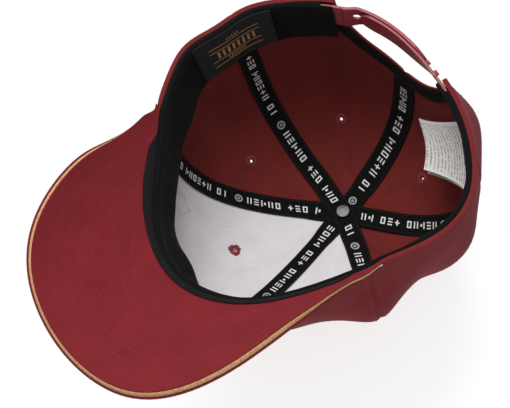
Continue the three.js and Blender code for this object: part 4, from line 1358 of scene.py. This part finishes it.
# the straps hang upright across the opening, so their upper edge stands a little further out
def strapPoint(along, height, depth):
    angle = math.pi - along / crown["halfDepth"]
    free = 1 - smooth(np.abs(along), 24, 39)
    return inside(angle, height / crown["height"], depth - 2.6 * free * height / closure["strapWidth"])


# a strap is cut flat (x along, y up, z into the cap), drilled and edged, and then bent round the wall
def flatStrap(name, start, end, holes=(), pegs=(), roundTip=True):
    low, high = min(start, end), max(start, end)
    bpy.ops.mesh.primitive_cube_add(size=1, location=((low + high) / 2, strapMiddle, closure["strapThick"] / 2))
    strap = bpy.context.object
    strap.name = name
    strap.scale = (high - low, closure["strapWidth"], closure["strapThick"])
    applyAll(strap)
    if roundTip:
        for edge in strap.data.edges:
            a, b = (strap.data.vertices[i].co for i in edge.vertices)
            edge.select = abs(a.x - end) < 1e-4 and abs(b.x - end) < 1e-4 and abs(a.y - b.y) < 1e-4
        for p in strap.data.polygons:
            p.select = False
        for vert in strap.data.vertices:
            vert.select = abs(vert.co.x - end) < 1e-4
        mode("EDIT")
        bpy.ops.mesh.select_mode(type="EDGE")
        mode("OBJECT")
        for edge in strap.data.edges:
            a, b = (strap.data.vertices[i].co for i in edge.vertices)
            edge.select = abs(a.x - end) < 1e-4 and abs(b.x - end) < 1e-4 and abs(a.y - b.y) < 1e-4
        mode("EDIT")
        bpy.ops.mesh.bevel(offset=tipRadius * 0.93, segments=12, affect="EDGES")
        mode("OBJECT")
    mode("EDIT")
    for x in np.arange(math.ceil(low) + 0.5, high - 0.3, 1.6):
        bpy.ops.mesh.select_all(action="SELECT")
        bpy.ops.mesh.bisect(plane_co=(float(x), 0, 0), plane_no=(1, 0, 0))
    for y in np.linspace(-0.32, 0.32, 3) * closure["strapWidth"] + strapMiddle:
        bpy.ops.mesh.select_all(action="SELECT")
        bpy.ops.mesh.bisect(plane_co=(0, float(y), 0), plane_no=(0, 1, 0))
    mode("OBJECT")
    for along in holes:
        bpy.ops.mesh.primitive_cylinder_add(vertices=28, radius=(closure["pegBase"] + closure["holeClearance"]) / 2,
                                            depth=8, location=(along, strapMiddle, 0))
        cutWith(strap, bpy.context.object)
    addBevel(strap, 300, 3, 50)          # the flat strap is a thousand times its size until it is bent
    if pegs:
        height = closure["snapGap"] + closure["strapThick"]
        deep = height + closure["pegSunk"]
        bpy.ops.mesh.primitive_cylinder_add(vertices=24, radius=closure["pegBase"] / 2, depth=deep,
                                            location=(0, strapMiddle, closure["pegSunk"] - deep / 2))
        peg = bpy.context.object
        selectFaces(peg, lambda p: p.normal.z < -0.9)
        bpy.ops.transform.resize(value=(closure["pegTip"] / closure["pegBase"] * 1.12,) * 2 + (1,))
        bpy.ops.mesh.inset(thickness=0.55)
        bpy.ops.transform.translate(value=(0, 0, 0.25))
        mode("OBJECT")
        addBevel(peg, 160, 2, 30)
        copies = []
        for along in pegs:
            other = peg.copy()
            other.data = peg.data.copy()
            other.location.x = along
            copies.append(linked(other))
        bpy.data.objects.remove(peg)
        bpy.ops.object.select_all(action="DESELECT")
        for other in copies:
            other.select_set(True)
        strap.select_set(True)
        bpy.context.view_layer.objects.active = strap
        bpy.ops.object.join()
    applyAll(strap)
    return strap


def bendStrap(strap, depthAt):
    flat = np.array([vert.co[:] for vert in strap.data.vertices])
    bent = toFrame(strapPoint(flat[:, 0], flat[:, 1], depthAt(flat[:, 0]) + flat[:, 2]))
    strap.data.vertices.foreach_set("co", bent.astype(np.float32).ravel())
    strap.data.update()
    only(strap)
    mode("EDIT")
    bpy.ops.mesh.select_all(action="SELECT")
    bpy.ops.mesh.normals_make_consistent(inside=False)
    mode("OBJECT")
    return strap


tipOuter = pegPlaces[closure["pegsEngaged"] - 1] - closure["holeStrapTail"]
tipInner = pegPlaces[0] + closure["pegStrapTail"]
holePlaces = [p for p in (pegPlaces[closure["pegsEngaged"] - 1] + i * closure["pegPitch"]
                          for i in range(closure["pegCount"])) if p < strapBend - closure["pegBase"]]


def outerDepth(along):
    return blendTo(holeStrapDepth, strapDepth, smooth(along, tipInner + 1, strapBend - 1))


def innerDepth(along):
    return np.full(np.shape(along), strapDepth)


outerStrap = bendStrap(flatStrap("strap_with_holes", strapBend, tipOuter, holes=holePlaces), outerDepth)
place(outerStrap, "outer_strap", "strap_plastic", plasticMaterial, ["snap_strap_holes"], angle=30)
innerStrap = bendStrap(flatStrap("strap_with_pegs", -strapBend, tipInner, pegs=pegPlaces), innerDepth)
place(innerStrap, "inner_strap", "strap_plastic", plasticMaterial, ["snap_strap_pegs"], angle=30)
for name, side in (("left", 1), ("right", -1)):
    root = bendStrap(flatStrap("strap_root_" + name, side * strapEnd, side * (strapBend + 0.3), roundTip=False),
                     innerDepth)
    place(root, "cap", "strap_plastic", plasticMaterial, ["strap_anchor_" + name], angle=30)
print("straps made")

# labels

label = {"thick": 0.5, "sizeAngle": 112, "sizeFoot": 0.6, "sizeWidth": 53, "sizeHeight": 30.5,
         "sideAngle": -124, "sideFoot": 3, "sideWidth": 12, "sideHeight": 26,
         "careAngle": -128, "careWidth": 48, "careSwing": 33, "careHeight": 44,
         "careCurlBack": 7, "careCurlFront": 12}


def labelFace(degrees, foot, width, height, depthAt):
    half = width / 2 / crown["halfDepth"]
    middle = rad(degrees)

    def at(u, v, depth=0.0):
        angle = middle + (np.asarray(u, float) * 2 - 1) * half
        v = np.asarray(v, float)
        return inside(angle, (foot + v * height) / crown["height"], depthAt(angle, v) + depth)
    return at


def labelPiece(name, at, columns, rows, width, height, thick=None):
    u, v = np.meshgrid(np.linspace(0, 1, columns), np.linspace(0, 1, rows), indexing="ij")
    uv = np.stack([u * width, v * height], -1)
    return sheetPiece(name, at(u, v, 0.0), at(u, v, thick or label["thick"]), uv, 0.1)


def bandFaceDepth(angle, v, foot, height):
    w = (foot + v * height) / band["height"]
    swell = 0.7 * np.sin(np.pi * np.clip(w, 0, 1)) ** 0.7
    return sweatbandFace(angle) + band["thick"] * 0.75 + swell * 0.6 + bandLeave(angle, w) + 0.45


# a label sewn to the band's face; part is size or side
def bandLabel(part, name, nodeName, columns, rows):
    angle, foot, width, height = (label[part + word] for word in ("Angle", "Foot", "Width", "Height"))
    at = labelFace(angle, foot, width, height, lambda a, v: bandFaceDepth(a, v, foot, height))
    piece = labelPiece(name, at, columns, rows, width, height)
    place(piece, "cap", "label_satin", satin, [nodeName])
    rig.sheet(piece, flat=(width / 1000, height / 1000), held="laid", rests_on=["sweatband_cloth"])
    return at


sizeAt = bandLabel("size", "size_label_satin", "size_label", 40, 24)
sideAt = bandLabel("side", "side_label_woven", "woven_side_label", 12, 20)


# thin raised threads on a label: (left, foot, width, height) in millimetres
def labelMarks(name, at, width, height, boxes, material, rise=0.12):
    points, faces = [], []
    for left, foot, wide, tall in boxes:
        u = np.array([left, left + wide, left + wide, left]) / width
        v = np.array([foot, foot, foot + tall, foot + tall]) / height
        base = 8 * len(points)
        points.append(np.concatenate([at(u, v, label["thick"] - 0.05), at(u, v, label["thick"] + rise)]))
        for f in boxFaces:
            faces.append(tuple(i + base for i in f))
    flat = np.concatenate(points)
    piece = meshFrom(name, flat, orientedFaces(flat, faces, 6))
    return place(piece, "cap", "thread", material)


goldBoxes = []
for foot in (9.2, 12.6, 20.8, 25.0):                 # four fine rules
    for k in range(14):
        goldBoxes.append((9 + k * 2.5, foot, 2.5, 0.4))
for k in range(8):                                   # a row of plain upright bars between the rules
    goldBoxes.append((13.6 + k * 3.6, 14.2, 1.5, 5.2))
for k in range(5):
    goldBoxes.append((22 + k * 1.9, 6.2, 0.8, 1.7))
for k in range(7):
    goldBoxes.append((20 + k * 1.9, 22.2, 0.8, 1.7))
labelMarks("size_label_marks", sizeAt, label["sizeWidth"], label["sizeHeight"], goldBoxes, threadGold)
sideBoxes = [(2.0 + 1.1 * (k % 2), 3 + 2.4 * k, 7.5 - 2.2 * (k % 2), 1.1) for k in range(9)]
labelMarks("side_label_marks", sideAt, label["sideWidth"], label["sideHeight"], sideBoxes, threadWhite)


def careLeaf(name, node, width, height, first, curl, lean):
    def at(u, v, depth=0.0):             # the leaf leans towards the back, its front corner furthest in
        u, v = np.asarray(u, float), np.asarray(v, float)
        across = (u * 2 - 1) * width / 2 - 2 - (label["careSwing"] + 6 * u) * v ** 1.1
        angle = rad(label["careAngle"]) + across / crown["halfDepth"]
        deep = first + (curl * 0.3 + lean + 17 * u) * v ** 1.6 + 0.7 * np.sin(3.2 * v + 4 * u) * v
        up = band["height"] + 0.5 + v * height - (9 + 5 * u) * v * v
        return inside(angle, up / crown["height"], deep + depth)
    leaf = labelPiece(name, at, 30, 36, width, height, thick=0.3)
    place(leaf, "care_label", "care_ribbon", careRibbon, [node])
    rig.sheet(leaf, flat=(width / 1000, round(height / 1000, 4)), held="hung", rests_on=["sweatband_cloth"])


careLeaf("care_leaf_back", "care_label_back_leaf", label["careWidth"], label["careHeight"],
         sweatbandDepth - 0.9, label["careCurlBack"], 0.0)
careLeaf("care_leaf_front", "care_label_front_leaf", label["careWidth"] - 2, label["careHeight"] * 0.86,
         sweatbandDepth - 0.1, label["careCurlFront"], 1.5)
print("labels made")

# stage, lights and camera

view = {
    "azimuth": 35.396, "elevation": 62.857, "roll": -163.366, "place": (-334.5, -237.6, -760.3),
    "lens": 111.741176, "sensor": 36, "aimRight": -0.0344283, "aimDown": 0.0186355,
}
azimuth, elevation = rad(view["azimuth"]), rad(view["elevation"])
viewForward = Vector((math.cos(elevation) * math.cos(azimuth), math.cos(elevation) * math.sin(azimuth),
                      math.sin(elevation)))
level = Vector((math.sin(azimuth), -math.cos(azimuth), 0))
viewRight = Matrix.Rotation(rad(view["roll"]), 3, viewForward) @ level
viewDown = viewForward.cross(viewRight)
aim = (viewForward + viewRight * view["aimRight"] + viewDown * view["aimDown"]).normalized()
aimRight = (viewRight - aim * viewRight.dot(aim)).normalized()
aimDown = aim.cross(aimRight)
cameraData = bpy.data.cameras.new("mainCamera")
cameraData.sensor_width, cameraData.lens = view["sensor"], view["lens"]
cameraData.clip_start, cameraData.clip_end = 0.01, 50
camera = linked(bpy.data.objects.new("mainCamera", cameraData))
turn = Matrix((directionToFrame(aimRight), directionToFrame(-aimDown), directionToFrame(-aim))).transposed()
camera.matrix_world = Matrix.Translation(Vector(toFrame(view["place"]))) @ turn.to_4x4()
bpy.context.scene.camera = camera

stage = {"ambient": 0.5, "floorGlow": 0.57, "floorColour": 0.8, "floorSize": 6.0,
         "backRight": 0.047, "backDown": 0.078, "backWide": 0.245, "backTall": 0.118}


# a pale plane that shows only from its front, and lets all light through to the object
def stagePlane(name, size, matrix):
    bpy.ops.mesh.primitive_plane_add(size=size)
    plane = bpy.context.object
    plane.name = name
    plane.matrix_world = matrix
    mat = bpy.data.materials.new(name)
    mat.use_nodes = True
    tree = mat.node_tree
    tree.nodes.clear()
    diffuse = node(tree, "ShaderNodeBsdfDiffuse", {"Color": (stage["floorColour"],) * 3 + (1,)})
    glow = node(tree, "ShaderNodeEmission", {"Color": (1, 1, 1, 1), "Strength": stage["floorGlow"]})
    both = node(tree, "ShaderNodeAddShader")
    tree.links.new(diffuse.outputs[0], both.inputs[0])
    tree.links.new(glow.outputs[0], both.inputs[1])
    clear = node(tree, "ShaderNodeBsdfTransparent")
    side = node(tree, "ShaderNodeNewGeometry")
    mix = node(tree, "ShaderNodeMixShader")
    tree.links.new(side.outputs["Backfacing"], mix.inputs[0])
    tree.links.new(both.outputs[0], mix.inputs[1])
    tree.links.new(clear.outputs[0], mix.inputs[2])
    out = node(tree, "ShaderNodeOutputMaterial")
    tree.links.new(mix.outputs[0], out.inputs["Surface"])
    plane.data.materials.append(mat)
    plane.visible_diffuse = False
    plane.visible_shadow = False
    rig.stage(plane)
    return plane


stagePlane("floor", stage["floorSize"], Matrix.Identity(4))
aimFrame = directionToFrame(aim)
wall = toFrame(skin(np.linspace(-3.1, 3.1, 200)[:, None], np.linspace(0, 0.999, 120)[None, :]))
deepest = max(aimFrame.dot(Vector(p)) for p in wall.reshape(-1, 3))
centre = Vector(toFrame((0, 0, 40)))
backPoint = centre + aimFrame * (deepest - aimFrame.dot(centre) + 0.001)
# only as wide as the shadow beside the crown needs
rightFrame, downFrame = directionToFrame(aimRight), directionToFrame(aimDown)
eye = camera.matrix_world.translation
backMiddle = (eye + aimFrame * aimFrame.dot(backPoint - eye) + rightFrame * stage["backRight"]
              + downFrame * stage["backDown"])
backTurn = Matrix((rightFrame, -downFrame, -aimFrame)).transposed().to_4x4()
stagePlane("backdrop", 1.0, Matrix.Translation(backMiddle) @ backTurn
           @ Matrix.Diagonal((stage["backWide"], stage["backTall"], 1, 1)))


def lamp(name, direction, distance, power, size):
    data = bpy.data.lights.new(name, "AREA")
    data.energy, data.size = power, size
    obj = linked(bpy.data.objects.new(name, data))
    direction = Vector(direction).normalized()
    obj.location = centre + direction * distance
    obj.rotation_mode = "QUATERNION"
    obj.rotation_quaternion = direction.to_track_quat("Z", "Y")
    return obj


upImage, leftImage = -directionToFrame(aimDown), -directionToFrame(aimRight)
lamp("keyLamp", -aimFrame + 0.95 * upImage + 0.3 * leftImage, 1.8, 24.0, 1.0)
lamp("upperLamp", (-0.35, -0.55, 0.95), 1.8, 9.0, 1.1)
lamp("backLamp", (0.5, 0.8, 0.7), 1.8, 6.0, 1.1)

world = bpy.data.worlds.new("studio")
bpy.context.scene.world = world
world.use_nodes = True
tree = world.node_tree
tree.nodes.clear()
path = node(tree, "ShaderNodeLightPath")
seen = mathNode(tree, "MAXIMUM", mathNode(tree, "MAXIMUM", path.outputs["Is Camera Ray"],
                path.outputs["Is Glossy Ray"]), path.outputs["Is Transmission Ray"])
strength = rangeNode(tree, seen, 0.0, 1.0, stage["ambient"], 1.0)
sky = node(tree, "ShaderNodeBackground", {"Color": (1, 1, 1, 1), "Strength": strength})
out = node(tree, "ShaderNodeOutputWorld")
tree.links.new(sky.outputs[0], out.inputs["Surface"])
bpy.context.scene.view_settings.view_transform = "Standard"
print("stage, lights and camera made")

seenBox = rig.bounds()
with open("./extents.json", "w") as sizeFile:
    json.dump({"cad": [list(c) for c in cadBox], "visual": [list(c) for c in seenBox]}, sizeFile)
